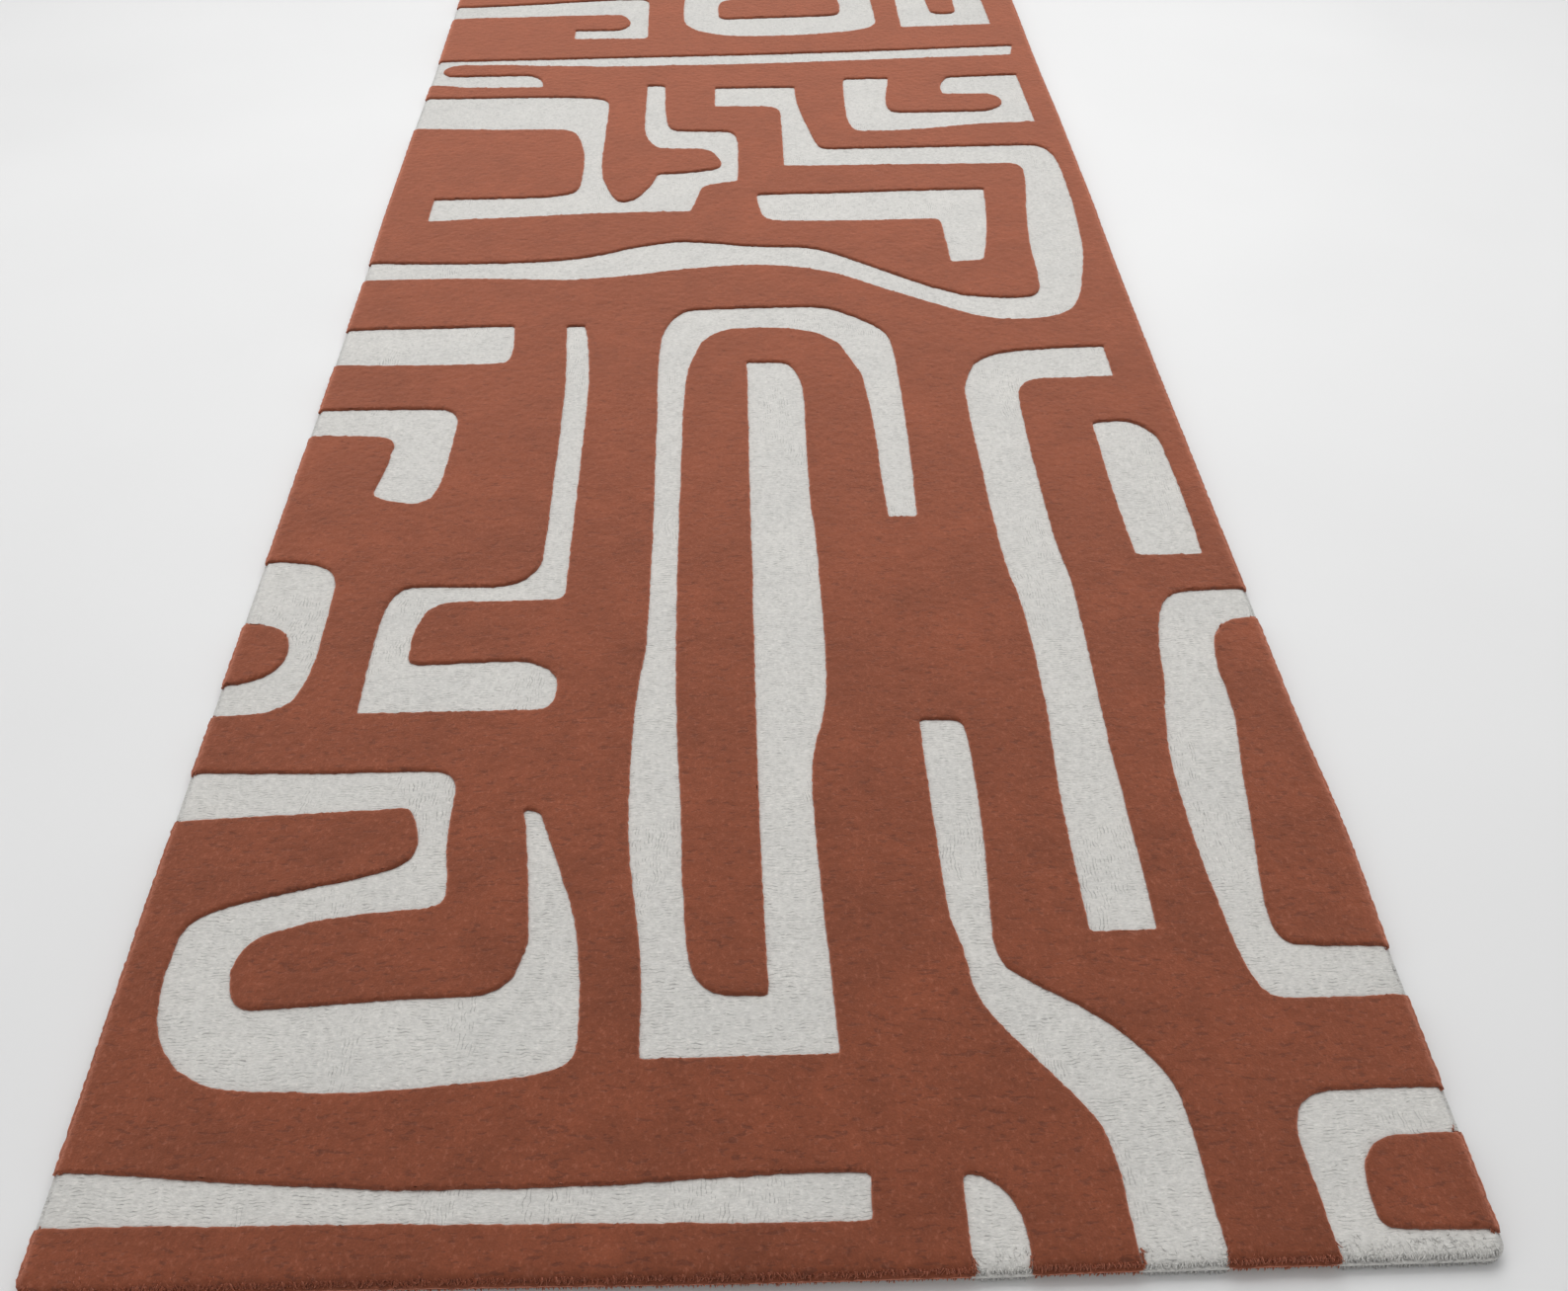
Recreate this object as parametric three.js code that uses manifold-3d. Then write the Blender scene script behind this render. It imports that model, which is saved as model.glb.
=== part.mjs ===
// A hand-tufted wool runner rug, modelled layer by layer in millimetres.
// X runs across the rug, Y along it and Z up. The origin is on the floor under the middle.
import * as THREE from "three";
import { mergeVertices } from "three/addons/utils/BufferGeometryUtils.js";
import Module from "manifold-3d";

const wasm = await Module();
wasm.setup();

// Driving dimensions.
const RUG_WIDTH = 762;
const RUG_LENGTH = 2438;
const GROUND_PILE_HEIGHT = 10.2; // terracotta pile above the primary cloth
const MOTIF_PILE_HEIGHT = 7.2; // ivory pile, shorn lower so that the pattern is sunk
const PRIMARY_CLOTH_THICKNESS = 0.8;
const LATEX_THICKNESS = 1.2;
const BACKING_THICKNESS = 0.8; // the canvas and the tapes that frame it
const TAPE_WIDTH = 32;
const CLOTH_INSET = 1.5; // the pile overhangs the cloth that it is tufted into
const LATEX_INSET = 5;
const CLEARANCE = 0.3; // free gap between neighbours that are cut to fit each other

// Levels of the stack, from the floor up.
const LATEX_BASE = BACKING_THICKNESS;
const CLOTH_BASE = LATEX_BASE + LATEX_THICKNESS;
const PILE_BASE = CLOTH_BASE + PRIMARY_CLOTH_THICKNESS;

// The pattern is drawn on a grid of this size and stretched to the rug's own size.
const GRID_WIDTH = 762;
const GRID_LENGTH = 2438;
const LEFT = -GRID_WIDTH / 2;
const RIGHT = GRID_WIDTH / 2;
const NEAR = -GRID_LENGTH / 2;
const FAR = GRID_LENGTH / 2;

// Fineness of the rounded corners: radians turned by each straight piece of a corner.
const CORNER_STEP = 0.45;

// Each corner is [x, y, softening]: the softening is how far from the corner, along
// both sides, the rounding starts. Without one the corner is sharp.
// An island is a patch of terracotta that the ivory motif shuts in.
const MOTIFS = [
  {
    name: "near_long_bar_pile",
    outline: [
      [LEFT, -1147], [-265, -1163, 40], [-125, -1169, 40], [-20, -1161, 40],
      [57, -1162, 3], [56, -1191, 3], [-90, -1189, 50], [LEFT, -1182],
    ],
  },
  {
    name: "near_thumb_pile",
    outline: [[104, NEAR], [105, -1164, 6], [123, -1169, 6], [136, -1187, 9], [136, NEAR]],
  },
  {
    name: "near_jogged_band_pile",
    outline: [
      [115, -820, 4], [147, -821, 9], [150, -895, 30], [143, -988, 18], [142, -1031, 16],
      [204, -1072, 14], [235, -1116, 12], [235, -1190, 12], [238, NEAR],
      [191, NEAR], [190, -1141, 14], [125, -1058, 14], [124, -1018, 8], [116, -998, 10],
    ],
  },
  {
    name: "near_right_hook_pile",
    outline: [[RIGHT, -1121], [292, -1121, 28], [291, -1165, 12], [295, NEAR], [RIGHT, NEAR]],
    island: {
      name: "near_right_island_pile",
      outline: [[RIGHT, -1150], [330, -1151, 15], [319, -1176, 10], [321, -1203, 7], [RIGHT, -1206]],
    },
  },
  {
    name: "left_scroll_pile",
    outline: [
      [LEFT, -855], [-300, -859, 30], [-200, -859, 20], [-201, -935, 12], [-194, -957, 9],
      [-197, -977, 9], [-285, -984, 20], [-316, -1004, 14], [-317, -1030, 8], [-307, -1049, 9],
      [-200, -1043, 20], [-156, -1043, 14], [-141, -1019, 12], [-144, -960, 30], [-154, -896, 3],
      [-142, -898, 6], [-127, -945, 18], [-107, -1003, 25], [-106, -1093, 16], [-185, -1110, 40],
      [-316, -1103, 21], [-350, -1072, 22], [-358, -1012, 16], [-352, -981, 12], [-300, -959, 25],
      [-250, -953, 16], [-220, -937, 10], [-220, -913, 8], [-229, -893, 5], [LEFT, -901],
    ],
  },
  {
    name: "paperclip_pile",
    outline: [
      [-82, -293, 18], [-60, -246, 16], [82, -243, 24], [139, -294, 22], [142, -400, 30],
      [138, -587, 3], [113, -587, 3], [111, -410, 36], [103, -345, 25], [77, -294, 25],
      [10, -280, 22], [-31, -290, 18], [-57, -347, 30], [-56, -810, 30], [-50, -870, 28],
      [-46, -1016, 14], [-34, -1046, 14], [4, -1048, 4], [1, -900, 40], [1, -345, 3],
      [40, -346, 9], [54, -384, 17], [50, -530, 30], [54, -620, 30], [54, -800, 22],
      [37, -858, 18], [40, -980, 30], [45, -1090, 3], [-71, -1090, 3], [-72, -1012, 22],
      [-86, -925, 25], [-85, -790, 18], [-78, -735, 18], [-78, -560, 30],
    ],
  },
  {
    name: "right_centre_cane_pile",
    outline: [
      [339, -327, 3], [270, -329, 18], [224, -339, 18], [200, -371, 18], [197, -440, 25],
      [199, -650, 18], [207, -700, 20], [207, -830, 25], [200, -900, 25], [202, -1008, 3],
      [244, -1008, 3], [244, -880, 30], [250, -668, 12], [245, -633, 13], [244, -480, 25],
      [247, -397, 10], [261, -383, 8], [339, -382, 3],
    ],
  },
  {
    name: "right_small_bar_pile",
    outline: [
      [304, -455, 4], [338, -451, 12], [359, -475, 12], [361, -590, 20], [358, -643, 4],
      [305, -643, 4], [303, -560, 20],
    ],
  },
  {
    name: "right_edge_loop_pile",
    outline: [
      [RIGHT, -685], [318, -686, 20], [300, -733, 18], [299, -775, 18], [283, -840, 25],
      [280, -930, 25], [290, -1046, 10], [302, -1061, 8], [RIGHT, -1060],
    ],
    island: {
      name: "right_edge_island_pile",
      outline: [
        [RIGHT, -720], [352, -722, 16], [337, -757, 16], [341, -815, 18], [327, -890, 20],
        [313, -1000, 10], [319, -1020, 9], [RIGHT, -1025],
      ],
    },
  },
  {
    name: "left_edge_loop_pile",
    outline: [
      [LEFT, -628], [-349, -629, 11], [-322, -642, 14], [-319, -680, 16], [-319, -775, 14],
      [-336, -801, 14], [LEFT, -803],
    ],
    island: {
      name: "left_edge_island_pile",
      outline: [[LEFT, -772], [-350, -761, 12], [-340, -737, 11], [-349, -711, 11], [LEFT, -701]],
    },
  },
  {
    name: "left_zed_pile",
    outline: [
      [-171, -275, 4], [-152, -275, 3], [-142, -350, 30], [-142, -683, 10], [-238, -683, 13],
      [-252, -704, 11], [-252, -752, 9], [-160, -749, 14], [-139, -768, 12], [-142, -803, 13],
      [-280, -803, 3], [-281, -686, 14], [-268, -662, 11], [-184, -665, 14], [-163, -643, 14],
      [-164, -385, 30],
    ],
  },
  {
    name: "left_hook_pile",
    outline: [
      [LEFT, -413], [-266, -415, 9], [-254, -430, 9], [-256, -538, 11], [-268, -557, 10],
      [-288, -556, 8], [-313, -545, 10], [-305, -492, 18], [-306, -462, 11], [-322, -458, 4],
      [LEFT, -455],
    ],
  },
  {
    name: "left_bar_pile",
    outline: [
      [LEFT, -275], [-220, -273, 5], [-216, -325, 8], [-222, -342, 8], [-340, -343, 20],
      [LEFT, -339],
    ],
  },
  {
    name: "river_pile",
    outline: [
      [LEFT, -142], [-340, -147, 20], [-163, -146, 30], [-99, -107, 24], [-40, -106, 20],
      [10, -122, 20], [74, -119, 30], [192, -215, 25], [238, -234, 20], [293, -232, 18],
      [299, -185, 20], [298, -95, 40], [317, 28, 18], [317, 68, 17], [49, 69, 3],
      [50, 233, 20], [-29, 235, 3], [-29, 293, 3], [70, 293, 4], [70, 232, 30],
      [92, 114, 12], [344, 118, 12], [360, 94, 13], [361, -60, 50], [348, -188, 35],
      [320, -270, 28], [243, -281, 30], [151, -221, 28], [66, -160, 30], [-52, -160, 35],
      [-125, -188, 35], [-215, -185, 28], [-260, -180, 15], [LEFT, -181],
    ],
  },
  {
    name: "inner_boot_pile",
    outline: [
      [17, 0, 4], [130, 4, 30], [267, 6, 3], [263, -65, 25], [248, -157, 8], [213, -160, 4],
      [212, -64, 12], [105, -68, 30], [26, -64, 13], [18, -35, 12],
    ],
  },
  {
    name: "left_door_pile",
    outline: [
      [LEFT, 273], [-176, 271, 14], [-155, 256, 10], [-157, 75, 25], [-150, 25, 20],
      [-134, -12, 6], [-121, -12, 6], [-101, 15, 14], [-93, 55, 7], [-45, 57, 15],
      [-21, 69, 10], [-23, 94, 11], [-37, 117, 12], [-93, 118, 9], [-112, 152, 16],
      [-113, 303, 4], [-89, 303, 9], [-88, 205, 20], [-80, 168, 15], [-8, 166, 14],
      [0, 140, 12], [-3, 32, 5], [-42, 22, 10], [-54, -40, 4], [-150, -40, 40],
      [-334, -55, 4], [-334, -1, 3], [-203, 0, 14], [-178, 15, 11], [-176, 110, 20],
      [-192, 175, 20], [-300, 175, 40], [LEFT, 182],
    ],
  },
  {
    name: "far_right_buckle_pile",
    outline: [
      [130, 317, 8], [188, 317, 5], [177, 240, 12], [183, 213, 11], [303, 214, 15],
      [323, 239, 13], [310, 265, 11], [250, 264, 7], [248, 292, 8], [260, 318, 5],
      [350, 324, 3], [351, 179, 3], [270, 176, 25], [215, 159, 25], [136, 159, 12],
      [127, 195, 14],
    ],
  },
  {
    name: "far_thin_line_pile",
    outline: [
      [LEFT, 387], [-190, 393, 60], [110, 403, 60], [359, 421, 4], [352, 386, 5],
      [110, 371, 60], [-90, 363, 60], [-205, 362, 40], [-300, 373, 30], [-358, 372, 8],
      [-373, 355, 8], [-363, 338, 7], [-258, 341, 11], [-242, 323, 10], [-241, 300, 3],
      [-332, 300, 12], [LEFT, 313],
    ],
  },
  {
    name: "far_left_hook_pile",
    outline: [
      [LEFT, 580], [-300, 583, 40], [-205, 602, 30], [-119, 604, 18], [-117, 457, 10],
      [-214, 457, 3], [-214, 489, 3], [-152, 489, 10], [-140, 511, 10], [-151, 543, 12],
      [LEFT, 533],
    ],
  },
  {
    name: "far_ring_pile",
    outline: [
      [-71, 652, 45], [185, 655, 45], [188, 486, 30], [110, 461, 35], [-22, 458, 35],
      [-72, 498, 28],
    ],
    island: {
      name: "far_ring_island_pile",
      outline: [[-24, 594, 22], [141, 602, 18], [141, 536, 20], [-23, 525, 13]],
    },
  },
  {
    name: "far_tuning_fork_pile",
    outline: [
      [218, 655, 10], [219, 486, 4], [341, 494, 5], [337, 643, 8], [298, 643, 6],
      [298, 537, 14], [263, 537, 14], [260, 655, 10],
    ],
  },
  {
    name: "far_wave_pile",
    outline: [
      [LEFT, 688], [-230, 690, 60], [-110, 735, 50], [60, 740, 50], [150, 722, 40],
      [346, 726, 4], [343, 690, 4], [160, 687, 45], [60, 703, 45], [-95, 698, 50],
      [-210, 650, 50], [LEFT, 648],
    ],
  },
  {
    name: "far_left_step_pile",
    outline: [
      [LEFT, 745], [-258, 748, 25], [-262, 886, 14], [-130, 888, 8], [-128, 930, 8],
      [-302, 932, 28], [-306, 787, 12], [LEFT, 785],
    ],
  },
  {
    name: "far_left_bar_pile",
    outline: [[LEFT, 1013], [-226, 1016, 12], [-213, 993, 12], [-225, 970, 12], [LEFT, 968]],
  },
  {
    name: "far_left_gate_pile",
    outline: [
      [LEFT, 1102], [-140, 1104, 24], [-138, 968, 7], [-174, 966, 7], [-177, 1064, 14],
      [LEFT, 1061],
    ],
  },
  {
    name: "far_horseshoe_pile",
    outline: [
      [-92, 786, 5], [-51, 788, 5], [-48, 1036, 20], [-20, 1063, 18], [30, 1064, 18],
      [57, 1036, 20], [60, 850, 4], [100, 848, 4], [103, 1068, 25], [66, 1106, 26],
      [-56, 1108, 26], [-94, 1068, 26],
    ],
  },
  {
    name: "far_centre_bar_pile",
    outline: [[-14, 800, 5], [24, 798, 5], [23, 1008, 14], [-12, 1012, 12]],
  },
  {
    name: "far_right_meander_pile",
    outline: [
      [RIGHT, 774], [152, 776, 26], [150, 945, 22], [326, 947, 18], [329, 905, 16],
      [193, 903, 13], [191, 815, 13], [RIGHT, 812],
    ],
  },
  {
    name: "far_right_tongue_pile",
    outline: [[RIGHT, 875], [234, 873, 12], [232, 845, 12], [RIGHT, 843]],
  },
  {
    name: "far_end_fork_pile",
    outline: [
      [155, 1180, 5], [152, 1000, 24], [346, 1003, 22], [348, FAR], [306, FAR],
      [304, 1044, 14], [197, 1042, 14], [198, 1178, 4],
    ],
  },
  {
    name: "far_end_stub_pile",
    outline: [[236, FAR], [234, 1088, 12], [268, 1089, 10], [269, FAR]],
  },
  {
    name: "far_end_bar_pile",
    outline: [
      [LEFT, 1187], [-250, 1181, 50], [-60, 1189, 50], [113, 1181, 4], [111, 1150, 4],
      [-60, 1157, 50], [-250, 1146, 50], [LEFT, 1151],
    ],
  },
];

/** The pattern's corners, stretched from the drawing grid to the rug's own size. */
function stretched(point) {
  const across = RUG_WIDTH / GRID_WIDTH;
  const along = RUG_LENGTH / GRID_LENGTH;
  return new THREE.Vector2(point.x * across, point.y * along);
}

/** The point that lies a given distance from one corner towards another. */
function towards(corner, other, distance) {
  return corner.clone().add(other.clone().sub(corner).setLength(distance));
}

/** A closed outline with its corners rounded, as points at the rug's own size. */
function roundedOutline(corners) {
  const points = [];
  corners.forEach(([x, y, softening = 0], i) => {
    const corner = new THREE.Vector2(x, y);
    if (softening === 0) {
      points.push(corner);
      return;
    }
    const before = new THREE.Vector2(...corners.at(i - 1));
    const after = new THREE.Vector2(...corners[(i + 1) % corners.length]);
    const start = towards(corner, before, softening);
    const end = towards(corner, after, softening);
    const turn = corner.clone().sub(before).angleTo(after.clone().sub(corner));
    const steps = Math.max(1, Math.round(turn / CORNER_STEP));
    points.push(...new THREE.QuadraticBezierCurve(start, corner, end).getPoints(steps));
  });
  return points.map(stretched);
}

/** The same outline moved outwards all round by a small distance. */
function grown(points, distance) {
  const side = THREE.ShapeUtils.isClockWise(points) ? -1 : 1;
  return points.map((point, i) => {
    const into = point.clone().sub(points.at(i - 1)).normalize();
    const away = points[(i + 1) % points.length].clone().sub(point).normalize();
    const outwards = new THREE.Vector2(into.y + away.y, -into.x - away.x).normalize();
    const slant = outwards.x * into.y - outwards.y * into.x;
    return point.clone().addScaledVector(outwards, (side * distance) / slant);
  });
}

/** A flat slab: an outline with an upright wall between two levels. */
function slab(points, base, top) {
  const depth = top - base;
  const geometry = new THREE.ExtrudeGeometry(new THREE.Shape(points), { depth, bevelEnabled: false });
  return geometry.translate(0, 0, base);
}

/** A four-cornered outline around the middle of the rug, a given distance inside its edge. */
function edgeRectangle(inset) {
  const x = RUG_WIDTH / 2 - inset;
  const y = RUG_LENGTH / 2 - inset;
  return [[-x, -y], [x, -y], [x, y], [-x, y]].map((corner) => new THREE.Vector2(...corner));
}

/** A closed three.js geometry as a solid that can be joined and cut. */
function toSolid(geometry) {
  const bare = geometry.clone();
  bare.deleteAttribute("normal");
  bare.deleteAttribute("uv");
  const merged = mergeVertices(bare);
  const vertProperties = new Float32Array(merged.attributes.position.array);
  const triVerts = new Uint32Array(merged.index.array);
  return new wasm.Manifold(new wasm.Mesh({ numProp: 3, vertProperties, triVerts }));
}

/** A joined or cut solid as a three.js geometry. */
function toGeometry(solid) {
  const mesh = solid.getMesh();
  const geometry = new THREE.BufferGeometry();
  geometry.setAttribute("position", new THREE.BufferAttribute(mesh.vertProperties, 3));
  geometry.setIndex(new THREE.BufferAttribute(mesh.triVerts, 1));
  geometry.computeVertexNormals();
  return geometry;
}

/** A cutter that passes right through the pile, with the clearance round a neighbour. */
function pileCutter(points) {
  const overrun = 5;
  const top = PILE_BASE + GROUND_PILE_HEIGHT + overrun;
  return toSolid(slab(grown(points, CLEARANCE), PILE_BASE - overrun, top));
}

/** The ground pile: the whole rug's area with every motif cut out of it. */
function groundPile() {
  let solid = toSolid(slab(edgeRectangle(0), PILE_BASE, PILE_BASE + GROUND_PILE_HEIGHT));
  for (const motif of MOTIFS) {
    solid = solid.subtract(pileCutter(roundedOutline(motif.outline)));
  }
  return toGeometry(solid);
}

/** One ivory motif, with an opening where it shuts in an island. */
function motifPile(motif) {
  const geometry = slab(roundedOutline(motif.outline), PILE_BASE, PILE_BASE + MOTIF_PILE_HEIGHT);
  if (!motif.island) {
    return geometry;
  }
  const opening = pileCutter(roundedOutline(motif.island.outline));
  return toGeometry(toSolid(geometry).subtract(opening));
}

/** One terracotta island, as tall as the ground pile. */
function islandPile(island) {
  return slab(roundedOutline(island.outline), PILE_BASE, PILE_BASE + GROUND_PILE_HEIGHT);
}

/** A tape along one edge of the back: mitred, with a gap along each mitre. */
function edgeTape(edgeLength) {
  const outer = edgeLength / 2 - CLOTH_INSET - CLEARANCE;
  const inner = outer - TAPE_WIDTH;
  const corners = [[-outer, 0], [outer, 0], [inner, TAPE_WIDTH], [-inner, TAPE_WIDTH]];
  return slab(corners.map((corner) => new THREE.Vector2(...corner)), 0, BACKING_THICKNESS);
}

const terracottaWool = new THREE.MeshStandardMaterial({ color: 0x8a513f, roughness: 0.95, metalness: 0 });
const ivoryWool = new THREE.MeshStandardMaterial({ color: 0xcbcac6, roughness: 0.95, metalness: 0 });
const naturalCanvas = new THREE.MeshStandardMaterial({ color: 0xd3c8b0, roughness: 0.9, metalness: 0 });
const creamLatex = new THREE.MeshStandardMaterial({ color: 0xe3dcc4, roughness: 0.6, metalness: 0 });
const rustTwill = new THREE.MeshStandardMaterial({ color: 0x7c4a3a, roughness: 0.9, metalness: 0 });

const rug = new THREE.Group();

/** Adds one named piece to the rug. */
function addPiece(name, geometry, material) {
  const mesh = new THREE.Mesh(geometry, material);
  mesh.name = name;
  rug.add(mesh);
  return mesh;
}

// The back: four tapes around a canvas, then the latex coat and the tufted cloth.
const sideReach = RUG_WIDTH / 2 - CLOTH_INSET;
const endReach = RUG_LENGTH / 2 - CLOTH_INSET;
const tapes = [
  { name: "near_end_tape", edge: RUG_WIDTH, x: 0, y: -endReach, turn: 0 },
  { name: "right_side_tape", edge: RUG_LENGTH, x: sideReach, y: 0, turn: Math.PI / 2 },
  { name: "far_end_tape", edge: RUG_WIDTH, x: 0, y: endReach, turn: Math.PI },
  { name: "left_side_tape", edge: RUG_LENGTH, x: -sideReach, y: 0, turn: -Math.PI / 2 },
];
for (const tape of tapes) {
  const mesh = addPiece(tape.name, edgeTape(tape.edge), rustTwill);
  mesh.position.set(tape.x, tape.y, 0);
  mesh.rotation.z = tape.turn;
}
const canvasInset = CLOTH_INSET + TAPE_WIDTH + CLEARANCE;
addPiece("canvas_backing", slab(edgeRectangle(canvasInset), 0, BACKING_THICKNESS), naturalCanvas);
addPiece("latex_coat", slab(edgeRectangle(LATEX_INSET), LATEX_BASE, CLOTH_BASE), creamLatex);
addPiece("primary_cloth", slab(edgeRectangle(CLOTH_INSET), CLOTH_BASE, PILE_BASE), naturalCanvas);

// The face: the ground pile, and the motifs and islands that fill its openings.
addPiece("ground_pile", groundPile(), terracottaWool);
for (const motif of MOTIFS) {
  addPiece(motif.name, motifPile(motif), ivoryWool);
  if (motif.island) {
    addPiece(motif.island.name, islandPile(motif.island), terracottaWool);
  }
}

export default rug;
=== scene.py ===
"""A hand-tufted wool runner rug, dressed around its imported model.

The pile is built as real relief: a lattice of tuft ends over the whole rug, parted along
every motif's outline into terracotta and ivory pieces with rounded, slightly ragged edges.
The outermost tufts splay out as separate strands. Underneath are the turned-down primary
cloth, the latex, the canvas and the stitched binding tapes. Lengths are in metres.
"""

import math

import bpy
import numpy as np
from mathutils import Euler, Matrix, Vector
from mathutils.geometry import delaunay_2d_cdt


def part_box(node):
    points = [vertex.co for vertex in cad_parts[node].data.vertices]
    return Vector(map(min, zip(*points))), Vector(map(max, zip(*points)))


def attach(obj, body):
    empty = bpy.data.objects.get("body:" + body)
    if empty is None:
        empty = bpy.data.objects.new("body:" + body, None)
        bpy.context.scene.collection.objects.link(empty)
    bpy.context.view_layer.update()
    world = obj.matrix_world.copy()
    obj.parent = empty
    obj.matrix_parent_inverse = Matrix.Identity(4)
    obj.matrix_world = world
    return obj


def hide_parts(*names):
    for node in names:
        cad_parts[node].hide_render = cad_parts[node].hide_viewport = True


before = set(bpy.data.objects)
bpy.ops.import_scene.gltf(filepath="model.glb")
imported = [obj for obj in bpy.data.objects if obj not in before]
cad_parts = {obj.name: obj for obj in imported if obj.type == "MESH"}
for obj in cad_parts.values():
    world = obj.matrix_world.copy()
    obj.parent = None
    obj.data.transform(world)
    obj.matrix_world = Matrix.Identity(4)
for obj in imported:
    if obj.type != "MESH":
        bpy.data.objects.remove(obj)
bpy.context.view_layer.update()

MM = 0.001

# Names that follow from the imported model.
NODES = sorted(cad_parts)
GROUND = "ground_pile"
ISLANDS = [name for name in NODES if name.endswith("_island_pile")]
MOTIFS = [
    name for name in NODES if name.endswith("_pile") and name != GROUND and name not in ISLANDS
]
TAPES = [name for name in NODES if name.endswith("_tape")]

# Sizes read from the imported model.
RUG_LOW, RUG_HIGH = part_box(GROUND)
HALF_WIDTH = RUG_HIGH.x
HALF_LENGTH = RUG_HIGH.y
PILE_BASE = RUG_LOW.z
GROUND_TOP = RUG_HIGH.z
MOTIF_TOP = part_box(MOTIFS[0])[1].z

# The lattice of tuft ends.
TUFT_PITCH = 2.6 * MM
TUFT_SCATTER = 0.24  # share of the pitch by which a tuft strays from its place
SNAP_REACH = 0.42 * TUFT_PITCH  # how near to a colour border a tuft is moved onto it
FIELD_MARGIN = 9 * MM  # how far from a motif its distance is worked out
GAP = 0.04 * MM  # each side of a colour border
IVORY_BLOOM = 0.45 * MM  # how far the ivory tufts open above their packed level
CORNER_RADIUS = 9 * MM  # of the rug's own corners
BULGE = 2.4 * MM  # how far the right edge swells out, near the front
BULGE_PLACE = -0.93  # along the rug
BULGE_SPAN = 0.07
END_SKEW = 4 * MM  # how far the near end runs inwards towards its left corner

# How the colour borders wander: (how far, size of the waves across and along, seed).
BORDER_WANDER = (
    (0.34 * MM, 3.1 * MM, 2.6 * MM, 21),
    (0.3 * MM, 11 * MM, 11 * MM, 22),
    (0.4 * MM, 47 * MM, 47 * MM, 23),
)

# How the rug's own edges wander: how far, and over what length.
SIDE_SWAY = 1.3 * MM
SIDE_SWAY_LENGTH = 0.19
END_BOW = 1.2 * MM
END_BOW_LENGTH = 0.22

# Tuft heights.
TUFT_UNEVENNESS = 0.26 * MM
DASH_UNEVENNESS = 0.16 * MM
DASH_SIZE = 6.5 * MM, 2.3 * MM
SWELL = 0.35 * MM
SWELL_SIZE = 0.11, 0.09
RIM_EDGE_DROP = 0.5 * MM  # of the outermost tufts on the rug's edge
RIM_ROLL = 7 * MM  # width of the rounding along the rug's sides
RIM_DROP = 2.2 * MM
END_ROLL = 13 * MM  # and along its ends
END_DROP = 3.4 * MM
DEPTH_RANGE = 8 * MM  # depth below the top at which the pile's painted shade is at its darkest

# How a patch of pile is closed at its sides: the inset and the drop of its outermost tufts,
# then rings down the wall, each with its share of the height, its offset outwards at a
# colour border and at the rug's edge, and its raggedness.
TALL_RINGS = (
    0.9 * MM,
    0.28 * MM,
    (
        (0.945, 0.0, 0.9 * MM, 0.25 * MM),
        (0.83, 0.38 * MM, 1.5 * MM, 0.3 * MM),
        (0.72, -GAP, 1.4 * MM, 0.0),
        (0.0, -GAP, -0.4 * MM, 0.0),
    ),
)
LOW_RINGS = (
    0.8 * MM,
    0.06 * MM,
    (
        (0.985, -2 * GAP, 0.9 * MM, 0.5 * GAP),
        (0.83, -GAP, 1.4 * MM, 0.0),
        (0.5, -GAP, 1.0 * MM, 0.0),
        (0.0, -GAP, -0.4 * MM, 0.0),
    ),
)

NOISE_CELLS = 512

# Seeds of the random draws. The motifs and the islands count on from theirs.
SEEDS = {
    "scatter": 11, "side_sway": 31, "end_bow": 32, "tufts": 41, "swell": 42, "dashes": 43,
    "ground": 51, "ground_shade": 52, "motif": 60, "strands": 71, "ripple": 81, "latex": 85,
    "stitches": 91, "island": 110,
}


# -------- noise and outlines


def beside(*arrays):
    """Arrays of one length put side by side, as the columns of a single one."""
    return np.stack(arrays, axis=1)


def cell_noise(x, y, size_x, size_y, seed):
    """Smooth noise from -1 to 1 with cells of the given size; the same on every run."""
    table = np.random.default_rng(seed).random((NOISE_CELLS, NOISE_CELLS)) * 2 - 1
    u, v = x / size_x, y / size_y
    i, j = np.floor(u).astype(int), np.floor(v).astype(int)
    s, t = u - i, v - j
    s, t = s * s * (3 - 2 * s), t * t * (3 - 2 * t)
    i0, i1 = i % NOISE_CELLS, (i + 1) % NOISE_CELLS
    j0, j1 = j % NOISE_CELLS, (j + 1) % NOISE_CELLS
    low = table[i0, j0] * (1 - s) + table[i1, j0] * s
    high = table[i0, j1] * (1 - s) + table[i1, j1] * s
    return low * (1 - t) + high * t


def boundary_loops(triangles):
    """Closed chains of vertices around a set of triangles, each with the inside on its left."""
    edges = np.concatenate([triangles[:, [0, 1]], triangles[:, [1, 2]], triangles[:, [2, 0]]])
    known = {(a, b) for a, b in edges.tolist()}
    following = {}
    for a, b in known:
        if (b, a) not in known:
            following.setdefault(a, []).append(b)
    loops = []
    while following:
        start = min(following)
        loop, at = [], start
        while True:
            onward = following[at]
            after = onward.pop()
            if not onward:
                del following[at]
            loop.append(at)
            at = after
            if at == start or at not in following:
                break
        loops.append(loop)
    return loops


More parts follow.
